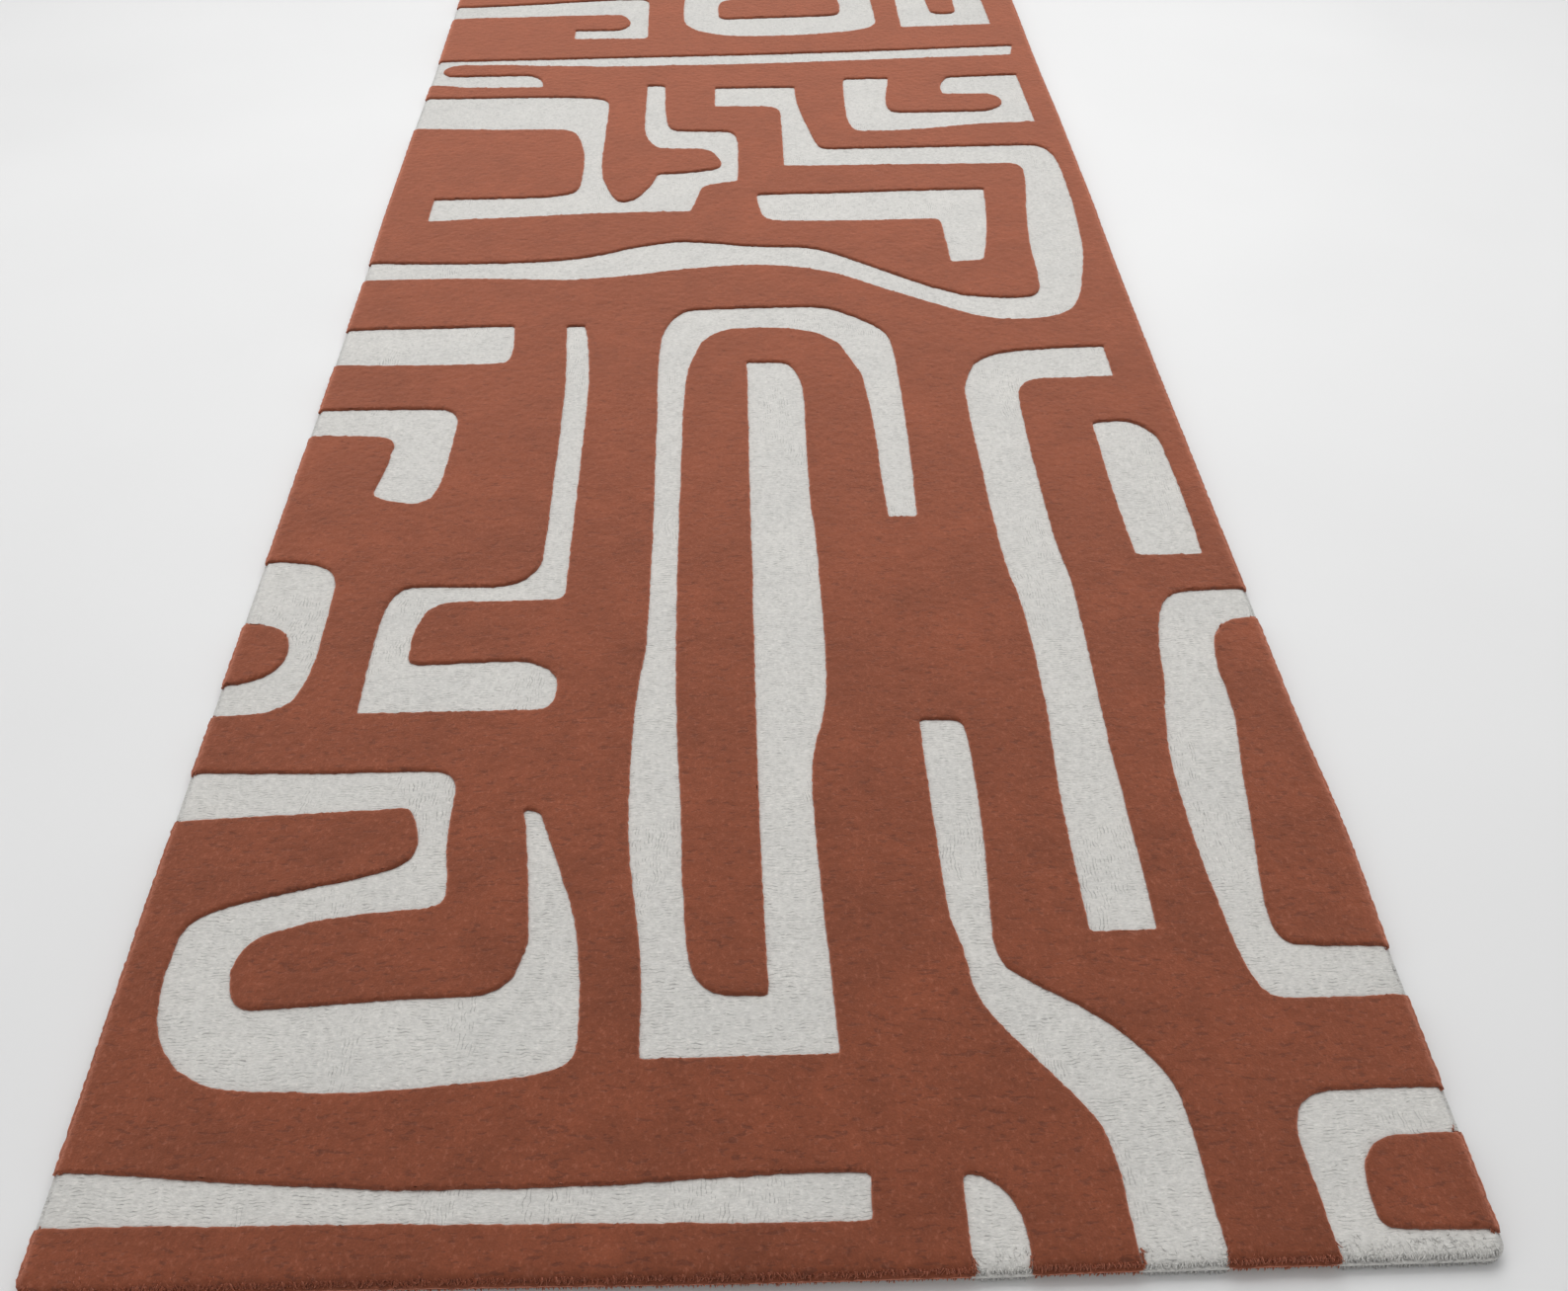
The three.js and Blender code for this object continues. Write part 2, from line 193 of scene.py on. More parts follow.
def top_outlines(node):
    """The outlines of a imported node's top face, as arrays of points."""
    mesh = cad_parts[node].data
    mesh.calc_loop_triangles()
    places = np.array([v.co for v in mesh.vertices])
    triangles = np.array([t.vertices for t in mesh.loop_triangles])
    top = places[:, 2].max()
    flat = (np.abs(places[triangles][:, :, 2] - top) < 0.02 * MM).all(axis=1)
    keys = np.round(places / (0.01 * MM)).astype(int)
    distinct, merged = np.unique(keys, axis=0, return_inverse=True)
    corners = distinct[:, :2] * (0.01 * MM)
    merged = merged.reshape(-1)
    return [corners[loop] for loop in boundary_loops(merged[triangles[flat]])]


def softened(loop, rounds=2, sharpest=0.75):
    """An outline with its gentle corners cut twice over, so that its curves run smooth."""
    for _ in range(rounds):
        before, after = np.roll(loop, 1, axis=0), np.roll(loop, -1, axis=0)
        into, away = loop - before, after - loop
        cross = into[:, 0] * away[:, 1] - into[:, 1] * away[:, 0]
        turn = np.abs(np.arctan2(cross, (into * away).sum(axis=1)))
        points = []
        for k, corner in enumerate(loop):
            if 0.02 < turn[k] < sharpest:
                points += [corner - into[k] / 4, corner + away[k] / 4]
            else:
                points.append(corner)
        loop = np.array(points)
    return loop


def run_over_rim(loop, beyond=30 * MM):
    """An outline that ends on the rug's edge, carried on past it."""
    loop = loop.copy()
    for axis, half in ((0, HALF_WIDTH), (1, HALF_LENGTH)):
        on_edge = np.abs(loop[:, axis]) > half - 0.05 * MM
        loop[on_edge, axis] += np.sign(loop[on_edge, axis]) * beyond
    return loop


def flip_inside(inside, x, y, a, b):
    """Counts one edge of an outline towards which points lie inside it."""
    if a[1] != b[1]:
        rising = (a[1] > y) != (b[1] > y)
        inside ^= rising & (x < a[0] + (y - a[1]) * (b[0] - a[0]) / (b[1] - a[1]))


def signed_distance(points, loops):
    """Distance into an outline (negative outside it), and the way towards its border."""
    nearest = np.zeros_like(points)
    best = np.full(len(points), np.inf)
    inside = np.zeros(len(points), bool)
    x, y = points[:, 0], points[:, 1]
    for loop in loops:
        for a, b in zip(loop, np.roll(loop, -1, axis=0)):
            along = b - a
            share = np.clip(((points - a) @ along) / (along @ along), 0, 1)
            foot = a + share[:, None] * along
            gap = np.hypot(x - foot[:, 0], y - foot[:, 1])
            closer = gap < best
            best[closer] = gap[closer]
            nearest[closer] = foot[closer]
            flip_inside(inside, x, y, a, b)
    towards = (nearest - points) / np.maximum(best, 1e-7)[:, None]
    return np.where(inside, best, -best), np.where(inside[:, None], towards, -towards)


# -------- the lattice of tufts


def lattice():
    """Rows of points over the whole rug, every second row shifted by half a pitch, and the
    triangles between them."""
    columns = round(2 * HALF_WIDTH / TUFT_PITCH)
    rows = 2 * round(HALF_LENGTH / (TUFT_PITCH * math.sqrt(3) / 2))
    whole = np.arange(columns + 1) / columns
    half = np.concatenate([[0], (np.arange(columns) + 0.5) / columns, [1]])
    i, j = np.arange(columns), np.arange(columns + 1)
    points, triangles, start = [], [], 0
    for row in range(rows + 1):
        line = half if row % 2 else whole
        x = (2 * line - 1) * HALF_WIDTH
        y = np.full(len(line), (2 * row / rows - 1) * HALF_LENGTH)
        points.append(beside(x, y))
        above = start + len(line)
        if row < rows and row % 2 == 0:
            triangles.append(beside(start + i, start + i + 1, above + i + 1))
            triangles.append(beside(start + j, above + j + 1, above + j))
        elif row < rows:
            triangles.append(beside(start + j, start + j + 1, above + j))
            triangles.append(beside(start + i + 1, above + i + 1, above + i))
        start = above
    return np.concatenate(points), np.concatenate(triangles)


def rim_sides(points):
    """For each point, whether it lies on the rug's left or right edge, and on an end."""
    on_side = np.abs(points[:, 0]) > HALF_WIDTH - 0.01 * MM
    on_end = np.abs(points[:, 1]) > HALF_LENGTH - 0.01 * MM
    return on_side, on_end


def scatter(points):
    """Moves the lattice's points a little at random; those on the edge stay on it."""
    rng = np.random.default_rng(SEEDS["scatter"])
    stray = rng.uniform(-1, 1, points.shape) * TUFT_SCATTER * TUFT_PITCH
    on_side, on_end = rim_sides(points)
    stray[on_side, 0] = 0
    stray[on_end, 1] = 0
    stray[on_side | on_end] *= 0.5
    return points + stray


def points_near(points, loops, margin=0.0):
    """The indices of the points inside the box round an outline, widened by a margin."""
    low = np.min([loop.min(axis=0) for loop in loops], axis=0) - margin
    high = np.max([loop.max(axis=0) for loop in loops], axis=0) + margin
    return np.flatnonzero(((points > low) & (points < high)).all(axis=1))


def colour_field(points):
    """Signed distance to the nearest colour border (positive in ivory), the way towards
    it, and which motif or island each point belongs to (-1 for none)."""
    field = np.full(len(points), -FIELD_MARGIN)
    towards = np.zeros_like(points)
    motif_of = np.full(len(points), -1)
    island_of = np.full(len(points), -1)
    for k, name in enumerate(MOTIFS):
        loops = [run_over_rim(softened(loop)) for loop in top_outlines(name)]
        near = points_near(points, loops, FIELD_MARGIN)
        distance, way = signed_distance(points[near], loops)
        wins = distance > field[near]
        chosen = near[wins]
        field[chosen] = distance[wins]
        towards[chosen] = way[wins]
        motif_of[chosen] = k
    for k, name in enumerate(ISLANDS):
        loops = [run_over_rim(loop) for loop in top_outlines(name)]
        near = points_near(points, loops)
        distance, _ = signed_distance(points[near], loops)
        island_of[near[distance > 0]] = k
    return field, towards, motif_of, island_of


def ragged(points, field):
    """The colour field with the small wander that tufted outlines have."""
    x, y = points.T
    for amount, size_x, size_y, seed in BORDER_WANDER:
        field = field + amount * cell_noise(x, y, size_x, size_y, seed)
    return field


def snap_to_border(points, field, towards):
    """Moves the tufts nearest to a colour border onto it, so that no sliver is left."""
    on_side, on_end = rim_sides(points)
    close = np.abs(field) < SNAP_REACH
    free = close & ~on_side & ~on_end
    points[free] += towards[free] * field[free, None]
    field[free] = 0
    for held, axis in ((on_side & ~on_end, 1), (on_end & ~on_side, 0)):
        slant = towards[:, axis]
        along = close & held & (np.abs(slant) > 0.4)
        points[along, axis] += field[along] / slant[along]
        field[along] = 0


def part_by_colour(points, triangles, field):
    """Cuts the triangles along the field's zero line. Returns the points with those of the
    cut added, the ivory triangles and the terracotta ones."""
    signs = np.sign(field)
    sign = signs[triangles]
    whole_ivory = (sign >= 0).all(axis=1) & (sign > 0).any(axis=1)
    whole_ground = (sign <= 0).all(axis=1) & (sign < 0).any(axis=1)
    lost = (sign == 0).all(axis=1)
    mixed = triangles[~(whole_ivory | whole_ground | lost)]
    mixed_sign = signs[mixed]

    edges = np.concatenate([mixed[:, [0, 1]], mixed[:, [1, 2]], mixed[:, [2, 0]]])
    cut = np.prod(signs[edges], axis=1) < 0
    pairs, which = np.unique(np.sort(edges[cut], axis=1), axis=0, return_inverse=True)
    share = field[pairs[:, 0]] / (field[pairs[:, 0]] - field[pairs[:, 1]])
    added = points[pairs[:, 0]] + share[:, None] * (points[pairs[:, 1]] - points[pairs[:, 0]])
    middle = np.full(len(edges), -1)
    middle[cut] = len(points) + which.reshape(-1)
    middle = middle.reshape(3, -1).T  # the cut on each triangle's three sides

    ivory, ground = [triangles[whole_ivory]], [triangles[whole_ground | lost]]
    by_sign = {1: ivory, -1: ground}
    for turn in range(3):
        a, b, c = (mixed[:, (turn + k) % 3] for k in range(3))
        ab, bc, ca = (middle[:, (turn + k) % 3] for k in range(3))
        sign_a, sign_b, sign_c = (mixed_sign[:, (turn + k) % 3] for k in range(3))
        for side in (1, -1):
            alone = (sign_a == side) & (sign_b == -side) & (sign_c == -side)
            by_sign[side].append(beside(a, ab, ca)[alone])
            by_sign[-side].append(beside(ab, b, c)[alone])
            by_sign[-side].append(beside(ab, c, ca)[alone])
            through = (sign_a == 0) & (sign_b == side) & (sign_c == -side)
            by_sign[side].append(beside(a, b, bc)[through])
            by_sign[-side].append(beside(a, bc, c)[through])
    return np.concatenate([points, added]), np.concatenate(ivory), np.concatenate(ground)


# -------- the rug's own lie


def rim_distance(x, y):
    """How far a point is from the rug's edge."""
    return np.minimum(HALF_WIDTH - np.abs(x), HALF_LENGTH - np.abs(y))


def lie(x, y):
    """Where a drawn point ends up: round corners, and edges that wander as cloth does."""
    u = (np.abs(x) - (HALF_WIDTH - CORNER_RADIUS)) / CORNER_RADIUS
    v = (np.abs(y) - (HALF_LENGTH - CORNER_RADIUS)) / CORNER_RADIUS
    in_corner = (u > 0) & (v > 0)
    shrink = np.where(in_corner, np.maximum(u, v) / np.maximum(np.hypot(u, v), 1e-9), 1)
    x = np.where(in_corner, np.sign(x) * (np.abs(x) - CORNER_RADIUS * u * (1 - shrink)), x)
    y = np.where(in_corner, np.sign(y) * (np.abs(y) - CORNER_RADIUS * v * (1 - shrink)), y)
    sway = SIDE_SWAY * cell_noise(y, np.sign(x) * 0.1, SIDE_SWAY_LENGTH, 1.0, SEEDS["side_sway"])
    sway *= (x / HALF_WIDTH) ** 2
    bulge = BULGE * np.exp(-(((y - BULGE_PLACE) / BULGE_SPAN) ** 2))
    sway += np.where(x > 0, bulge * (x / HALF_WIDTH) ** 2, 0)
    bow = END_BOW * cell_noise(x, np.sign(y) * 0.1, END_BOW_LENGTH, 1.0, SEEDS["end_bow"])
    bow *= (y / HALF_LENGTH) ** 8
    to_left = np.clip(0.3 - x / HALF_WIDTH, 0, 1.3) / 1.3
    bow += np.where(y < 0, END_SKEW * to_left * (y / HALF_LENGTH) ** 24, 0)
    return x + sway * np.sign(x), y + bow


def tuft_height(x, y):
    """How far the tuft ends stand above or below their shorn level."""
    rng = np.random.default_rng(SEEDS["tufts"])
    height = SWELL * cell_noise(x, y, *SWELL_SIZE, SEEDS["swell"])
    height += DASH_UNEVENNESS * cell_noise(x, y, *DASH_SIZE, SEEDS["dashes"])
    height += TUFT_UNEVENNESS * rng.uniform(-1, 1, len(x))
    from_side = np.clip((HALF_WIDTH - np.abs(x)) / RIM_ROLL, 0, 1)
    from_end = np.clip((HALF_LENGTH - np.abs(y)) / END_ROLL, 0, 1)
    side_drop = RIM_DROP * (1 - np.sqrt(1 - (1 - from_side) ** 2))
    end_drop = END_DROP * (1 - np.sqrt(1 - (1 - from_end) ** 2))
    return height - np.maximum(side_drop, end_drop)


# -------- meshes


def strip(a, b, c, d):
    """Two triangles for each quad from the edge a, b down to the edge c, d."""
    return [beside(b, a, c), beside(b, c, d)]


def tube_sides(levels, sides):
    """The triangles of one tube's wall, from ring to ring of its points."""
    pattern = []
    for level in range(levels):
        for k in range(sides):
            a, b = level * sides + k, level * sides + (k + 1) % sides
            pattern += [(a, b, b + sides), (a, b + sides, a + sides)]
    return pattern


def repeated(pattern, count, per):
    """A pattern of triangles repeated for many like shapes of so many points each."""
    return (np.arange(count)[:, None, None] * per + np.array(pattern)[None]).reshape(-1, 3)


def left_of(ways):
    """Flat directions, each turned a quarter circle to its left."""
    return beside(-ways[:, 1], ways[:, 0])


def new_object(name, data):
    """A new object in the scene."""
    made = bpy.data.objects.new(name, data)
    bpy.context.scene.collection.objects.link(made)
    return made


def mesh_object(name, points, triangles, attributes=None, smooth=True):
    """A new object from arrays of points and triangles, with named values at its points."""
    mesh = bpy.data.meshes.new(name)
    mesh.vertices.add(len(points))
    mesh.vertices.foreach_set("co", np.asarray(points, np.float32).ravel())
    mesh.loops.add(triangles.size)
    mesh.loops.foreach_set("vertex_index", np.asarray(triangles, np.int32).ravel())
    mesh.polygons.add(len(triangles))
    mesh.polygons.foreach_set("loop_start", np.arange(0, triangles.size, 3, dtype=np.int32))
    mesh.update(calc_edges=True)
    mesh.polygons.foreach_set("use_smooth", np.full(len(triangles), smooth))
    for key, values in (attributes or {}).items():
        layer = mesh.attributes.new(key, "FLOAT", "POINT")
        layer.data.foreach_set("value", np.asarray(values, np.float32))
    mesh.validate()
    return new_object(name, mesh)


def finish_piece(piece, material, slot, *replaced):
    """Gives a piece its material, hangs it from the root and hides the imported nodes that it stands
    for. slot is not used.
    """
    piece.data.materials.append(material)
    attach(piece, "root")
    if replaced:
        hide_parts(*replaced)
    return piece


def floor_of(points, loops):
    """Triangles that close a pile underneath, facing down, over the points of its loops,
    and the points that they add where its outlines cross."""
    order = [k for loop in loops for k in loop]
    starts = np.cumsum([0] + [len(loop) for loop in loops])
    edges = [
        (int(a) + i, int(a) + (i + 1) % len(loop))
        for a, loop in zip(starts, loops)
        for i in range(len(loop))
    ]
    flat = [Vector((float(points[k, 0]), float(points[k, 1]))) for k in order]
    placed, _, faces, origin, _, _ = delaunay_2d_cdt(flat, edges, [], 0, 1e-7)
    base = points[order[0], 2]
    added = []
    index = []
    for place, sources in zip(placed, origin):
        if sources:
            index.append(order[sources[0]])
        else:
            index.append(len(points) + len(added))
            added.append((place.x, place.y, base))
    added = np.array(added).reshape(-1, 3)
    points = np.concatenate([points, added])
    triangles = np.array(index)[np.array(faces)]
    x, y = points[triangles][:, :, :2].mean(axis=1).T
    inside = np.zeros(len(x), bool)
    for loop in loops:
        for a, b in zip(points[loop, :2], points[np.roll(loop, -1), :2]):
            flip_inside(inside, x, y, a, b)
    kept = triangles[inside]
    a, b, c = (points[kept[:, k], :2] for k in range(3))
    up = np.cross(b - a, c - a) > 0
    kept[up] = kept[up][:, ::-1]
    return kept, added


def ways_out(flat, loops):
    """For each point on a patch's outline the direction out of the patch, zero elsewhere."""
    outward = np.zeros_like(flat)
    for loop in loops:
        ring = flat[loop]
        side = -left_of(np.roll(ring, -1, axis=0) - np.roll(ring, 1, axis=0))
        outward[loop] = side / np.maximum(np.linalg.norm(side, axis=1), 1e-9)[:, None]
    return outward


def pile_walls(edge, loops, count, levels):
    """The walls of a patch of pile, down from its outermost tufts. The rings of the levels
    follow the patch's own points, of which there are count."""
    walls, first = [], 0
    for loop in loops:
        k = np.arange(len(loop)) + first
        onward = np.roll(k, -1)
        rings = [(edge[k], edge[onward])]
        for level in range(levels):
            below = count + level * len(edge)
            rings.append((below + k, below + onward))
        for (a, b), (c, d) in zip(rings, rings[1:]):
            walls += strip(a, b, c, d)
        first += len(loop)
    return walls


def pile_solid(points, triangles, top, seed):
    """Raises a patch of the lattice into pile: an uneven top, rounded shoulders, walls and
    a floor. Returns points, triangles and each point's depth below the shorn level."""
    used, triangles = np.unique(triangles, return_inverse=True)
    triangles = triangles.reshape(-1, 3)
    flat = points[used]
    loops = boundary_loops(triangles)
    edge = np.concatenate([np.array(loop) for loop in loops])
    on_rim = (rim_distance(*flat.T) < 0.02 * MM)[edge]
    out_x, out_y = ways_out(flat, loops)[edge].T
    inset, drop, rings = TALL_RINGS if top > MOTIF_TOP + 1 * MM else LOW_RINGS

    x, y = lie(*flat.T)
    height = top + tuft_height(*flat.T)
    height[edge] -= np.where(on_rim, RIM_EDGE_DROP, drop)
    shoulder = height[edge]
    x[edge] -= out_x * inset
    y[edge] -= out_y * inset
    layers = [beside(x, y, height)]
    depths = [np.maximum(top - height - 0.5 * MM, 0)]

    rng = np.random.default_rng(seed)
    edge_x, edge_y = lie(*flat[edge].T)
    for share, at_border, at_rim, ragged_by in rings:
        z = PILE_BASE + (shoulder - PILE_BASE) * share
        wobble = ragged_by * (rng.random(len(edge)) * 2 - 1)
        out = np.where(on_rim, at_rim + 1.5 * wobble, at_border + wobble)
        layers.append(beside(edge_x + out_x * out, edge_y + out_y * out, z))
        depths.append(top - z)
    solid = np.concatenate(layers)

    walls = pile_walls(edge, loops, len(flat), len(rings))
    starts = np.cumsum([len(solid) - len(edge)] + [len(loop) for loop in loops])
    floor, added = floor_of(solid, [list(range(a, b)) for a, b in zip(starts, starts[1:])])
    depths.append(np.full(len(added), top - PILE_BASE))
    faces = np.concatenate([triangles, *walls, floor])
    return np.concatenate([solid, added]), faces, np.concatenate(depths)


def shades(count, seed):
    """A random lightness for every tuft."""
    return np.random.default_rng(seed).uniform(0, 1, count)


def tuft_values(depth, shade):
    """What the wool's material reads at each point: the depth below the top, which sets its painted
    shade, and a random lightness.
    """
    return {"depth": np.clip(depth / DEPTH_RANGE, 0, 1), "shade": shade}


def pile_piece(points, triangles, top, material, slot, node, seed):
    """The tufts that stand for one packed motif or island."""
    solid, faces, depth = pile_solid(points, triangles, top, seed)
    values = tuft_values(depth, shades(len(solid), seed))
    tufts = mesh_object(node.replace("_pile", "_tufts"), solid, faces, values)
    return finish_piece(tufts, material, slot, node)


def smooth_normals(points, faces):
    """The normal at each point, from the faces round it, each counted by its area."""
    a, b, c = (points[faces[:, k]] for k in range(3))
    face_normals = np.cross(b - a, c - a)
    normals = np.zeros_like(points)
    for k in range(3):
        for axis in range(3):
            normals[:, axis] += np.bincount(faces[:, k], face_normals[:, axis], len(points))
    return normals / np.maximum(np.linalg.norm(normals, axis=1), 1e-12)[:, None]


def ground_sections(points, triangles, material):
    """The ground pile, parted across the rug into lengths that a mesh can hold. The lengths
    share the whole pile's normals, so no joint shows."""
    solid, faces, depth = pile_solid(points, triangles, GROUND_TOP, SEEDS["ground"])
    shade = shades(len(solid), SEEDS["ground_shade"])
    normals = smooth_normals(solid, faces)
    a, b, c = solid[faces][:, :, 1].T
    middle = (a + b + c) / 3
    names = ["near", "middle", "far"]
    bounds = np.linspace(-HALF_LENGTH, HALF_LENGTH, len(names) + 1)
    bounds[0], bounds[-1] = -np.inf, np.inf
    made = []
    for name, low, high in zip(names, bounds, bounds[1:]):
        mine = faces[(middle >= low) & (middle < high)]
        used, mine = np.unique(mine, return_inverse=True)
        values = tuft_values(depth[used], shade[used])
        piece = mesh_object(f"ground_tufts_{name}", solid[used], mine.reshape(-1, 3), values)
        piece.data.normals_split_custom_set_from_vertices(normals[used])
        made.append(finish_piece(piece, material, "terracotta_wool", GROUND))
    return made


def build_pile(terracotta, ivory):
    """All the pile, and the lattice's edge points with their colour for the strands."""
    points, triangles = lattice()
    points = scatter(points)
    field, towards, motif_of, island_of = colour_field(points)
    field = ragged(points, field)
    snap_to_border(points, field, towards)
    all_points, ivory_faces, ground_faces = part_by_colour(points, triangles, field)
    spare = np.full(len(all_points) - len(points), -1)
    motif_of = np.concatenate([motif_of, spare])
    island_of = np.concatenate([island_of, spare])

    pieces = []
    motif = motif_of[ivory_faces].max(axis=1)
    island = island_of[ground_faces].max(axis=1)
    ivory_top = MOTIF_TOP + IVORY_BLOOM
    for names, faces, owner, top, wool, slot, seed in (
        (MOTIFS, ivory_faces, motif, ivory_top, ivory, "ivory_wool", SEEDS["motif"]),
        (
            ISLANDS, ground_faces, island, GROUND_TOP, terracotta, "terracotta_wool",
            SEEDS["island"],
        ),
    ):
        for k, node in enumerate(names):
            mine = faces[owner == k]
            pieces.append(pile_piece(all_points, mine, top, wool, slot, node, seed + k))
    pieces += ground_sections(all_points, ground_faces[island == -1], terracotta)
    on_side, on_end = rim_sides(points)
    rim = on_side | on_end
    return pieces, points[rim], field[rim] > 0


# -------- materials


class Nodes:
    """Short calls for building a material's node tree."""

    def __init__(self, name):
        self.material = bpy.data.materials.new(name)
        self.material.use_nodes = True
        self.tree = self.material.node_tree
        self.shader = self.tree.nodes["Principled BSDF"]

    def add(self, kind, inputs=None, **settings):
        node = self.tree.nodes.new(kind)
        for key, value in settings.items():
            setattr(node, key, value)
        for key, value in (inputs or {}).items():
            self.put(node.inputs[key], value)
        return node

    def put(self, socket, value):
        if isinstance(value, bpy.types.NodeSocket):
            self.tree.links.new(value, socket)
        else:
            socket.default_value = value

    def math(self, operation, a, b=0.0):
        node = self.add("ShaderNodeMath", operation=operation)
        self.put(node.inputs[0], a)
        self.put(node.inputs[1], b)
        return node.outputs[0]

    def times(self, a, b):
        return self.math("MULTIPLY", a, b)

    def plus(self, a, b):
        return self.math("ADD", a, b)

    def minus(self, a, b):
        return self.math("SUBTRACT", a, b)

    def places(self, scale=(1, 1, 1)):
        source = self.add("ShaderNodeTexCoord").outputs["Object"]
        mapping = self.add("ShaderNodeMapping", {"Vector": source, "Scale": scale})
        return mapping.outputs[0]

    def noise(self, per_metre, detail=2.0, roughness=0.5):
        """Noise with features of one over per_metre, which may differ along X, Y and Z."""
        scale = (per_metre,) * 3 if np.isscalar(per_metre) else per_metre
        inputs = {"Vector": self.places(scale), "Scale": 1.0, "Detail": detail}
        inputs["Roughness"] = roughness
        return self.add("ShaderNodeTexNoise", inputs).outputs["Fac"]

    def spread(self, value, low, high, to_low=0.0, to_high=1.0):
        """A value stretched from one range to another, and held inside it."""
        inputs = {"Value": value, 1: low, 2: high, 3: to_low, 4: to_high}
        return self.add("ShaderNodeMapRange", inputs, clamp=True).outputs[0]

    def value(self, name):
        return self.add("ShaderNodeAttribute", attribute_name=name).outputs["Fac"]

    def mix(self, share, a, b, blend="MIX"):
        node = self.add("ShaderNodeMix", data_type="RGBA", blend_type=blend)
        self.put(node.inputs["Factor"], share)
        self.put(node.inputs[6], a)
        self.put(node.inputs[7], b)
        return node.outputs[2]

    def toned(self, colour, tone):
        """A colour made darker or lighter by a number."""
        grey = self.add("ShaderNodeCombineColor")
        for k in range(3):
            self.put(grey.inputs[k], tone)
        return self.mix(1.0, colour, grey.outputs[0], "MULTIPLY")

    def bump(self, height, distance, strength=1.0, normal=None):
        inputs = {"Height": height, "Distance": distance, "Strength": strength}
        if normal is not None:
            inputs["Normal"] = normal
        return self.add("ShaderNodeBump", inputs).outputs[0]

    def set(self, **inputs):
        for key, value in inputs.items():
            self.put(self.shader.inputs[key.replace("_", " ")], value)
        return self.material


ROW_PITCH = 2.3 * MM  # between rows of tufts, as the eye sees them
ROW_SWAY = 5.0  # how far a row drifts over 50 mm, and over 7 mm, in rows
ROW_STRAY = 1.6


TERRACOTTA = (0.158, 0.043, 0.0205, 1), (0.188, 0.0502, 0.0236, 1)
# Painted shade: the colour that the terracotta is darkened towards in the hollows between its tufts.
TERRACOTTA_PAINTED_SHADE = (0.085, 0.027, 0.017, 1)
# Painted highlight: the colour that the terracotta is lightened towards on its raised tips.
TERRACOTTA_PAINTED_HIGHLIGHT = (0.5, 0.2, 0.13, 1)
TERRACOTTA_SHEEN = (1.0, 0.41, 0.28, 1)
IVORY = (0.602, 0.59, 0.563, 1), (0.637, 0.622, 0.591, 1)
# Painted shade: the grey that the ivory is darkened towards in the gaps between its rows of tufts.
IVORY_PAINTED_SHADE = (0.3, 0.295, 0.28, 1)
# Painted highlight: the colour that the ivory is lightened towards on its raised tips.
IVORY_PAINTED_HIGHLIGHT = (0.8, 0.77, 0.73, 1)
IVORY_SHEEN = (0.97, 0.99, 1.0, 1)
WOOL_ROUGHNESS = 0.95
WOOL_SHINE = 0.1


def srgb(red, green, blue):
    """A colour given in display values from 0 to 255."""
    straight = [c / 255 for c in (red, green, blue)]
    return (*[c / 12.92 if c < 0.04 else ((c + 0.055) / 1.055) ** 2.4 for c in straight], 1)


def row_gaps(n, along, across, length, seed):
    """Short gaps between neighbouring rows of tufts, the rows running along one axis: grooves for the
    relief and a mask for painted shade.
    """
    place = n.add("ShaderNodeSeparateXYZ", {"Vector": n.places()})
    sway = n.times(n.minus(n.noise(20, 1.0), 0.5), ROW_SWAY)
    stray = n.times(n.minus(n.noise(150, 1.0), 0.5), ROW_STRAY)
    wander = n.plus(sway, stray)
    v = n.plus(n.math("DIVIDE", place.outputs[across], ROW_PITCH), wander)
    row = n.math("FLOOR", v)
    off_centre = n.math("ABSOLUTE", n.minus(n.math("FRACT", v), 0.5))
    vector = n.add("ShaderNodeCombineXYZ")
    n.put(vector.inputs[0], n.math("DIVIDE", place.outputs[along], length))
    n.put(vector.inputs[1], n.times(row, 3.37))
    n.put(vector.inputs[2], seed)
    inputs = {"Vector": vector.outputs[0], "Scale": 1.0, "Detail": 2.0, "Roughness": 0.6}
    broken = n.add("ShaderNodeTexNoise", inputs).outputs["Fac"]
    return n.times(n.spread(off_centre, 0.3, 0.44), n.spread(broken, 0.52, 0.6))


def wool_surface(n, colour, relief, fibres, bump, **sheen):
    """What both wools share: a soft relief of tufts and of fibres, and a dull surface."""
    normal = n.bump(relief, 0.7 * MM, bump)
    normal = n.bump(fibres, 0.3 * MM, bump, normal)
    return n.set(
        Base_Color=colour, Normal=normal, Roughness=WOOL_ROUGHNESS,
        Specular_IOR_Level=WOOL_SHINE, **sheen,
    )


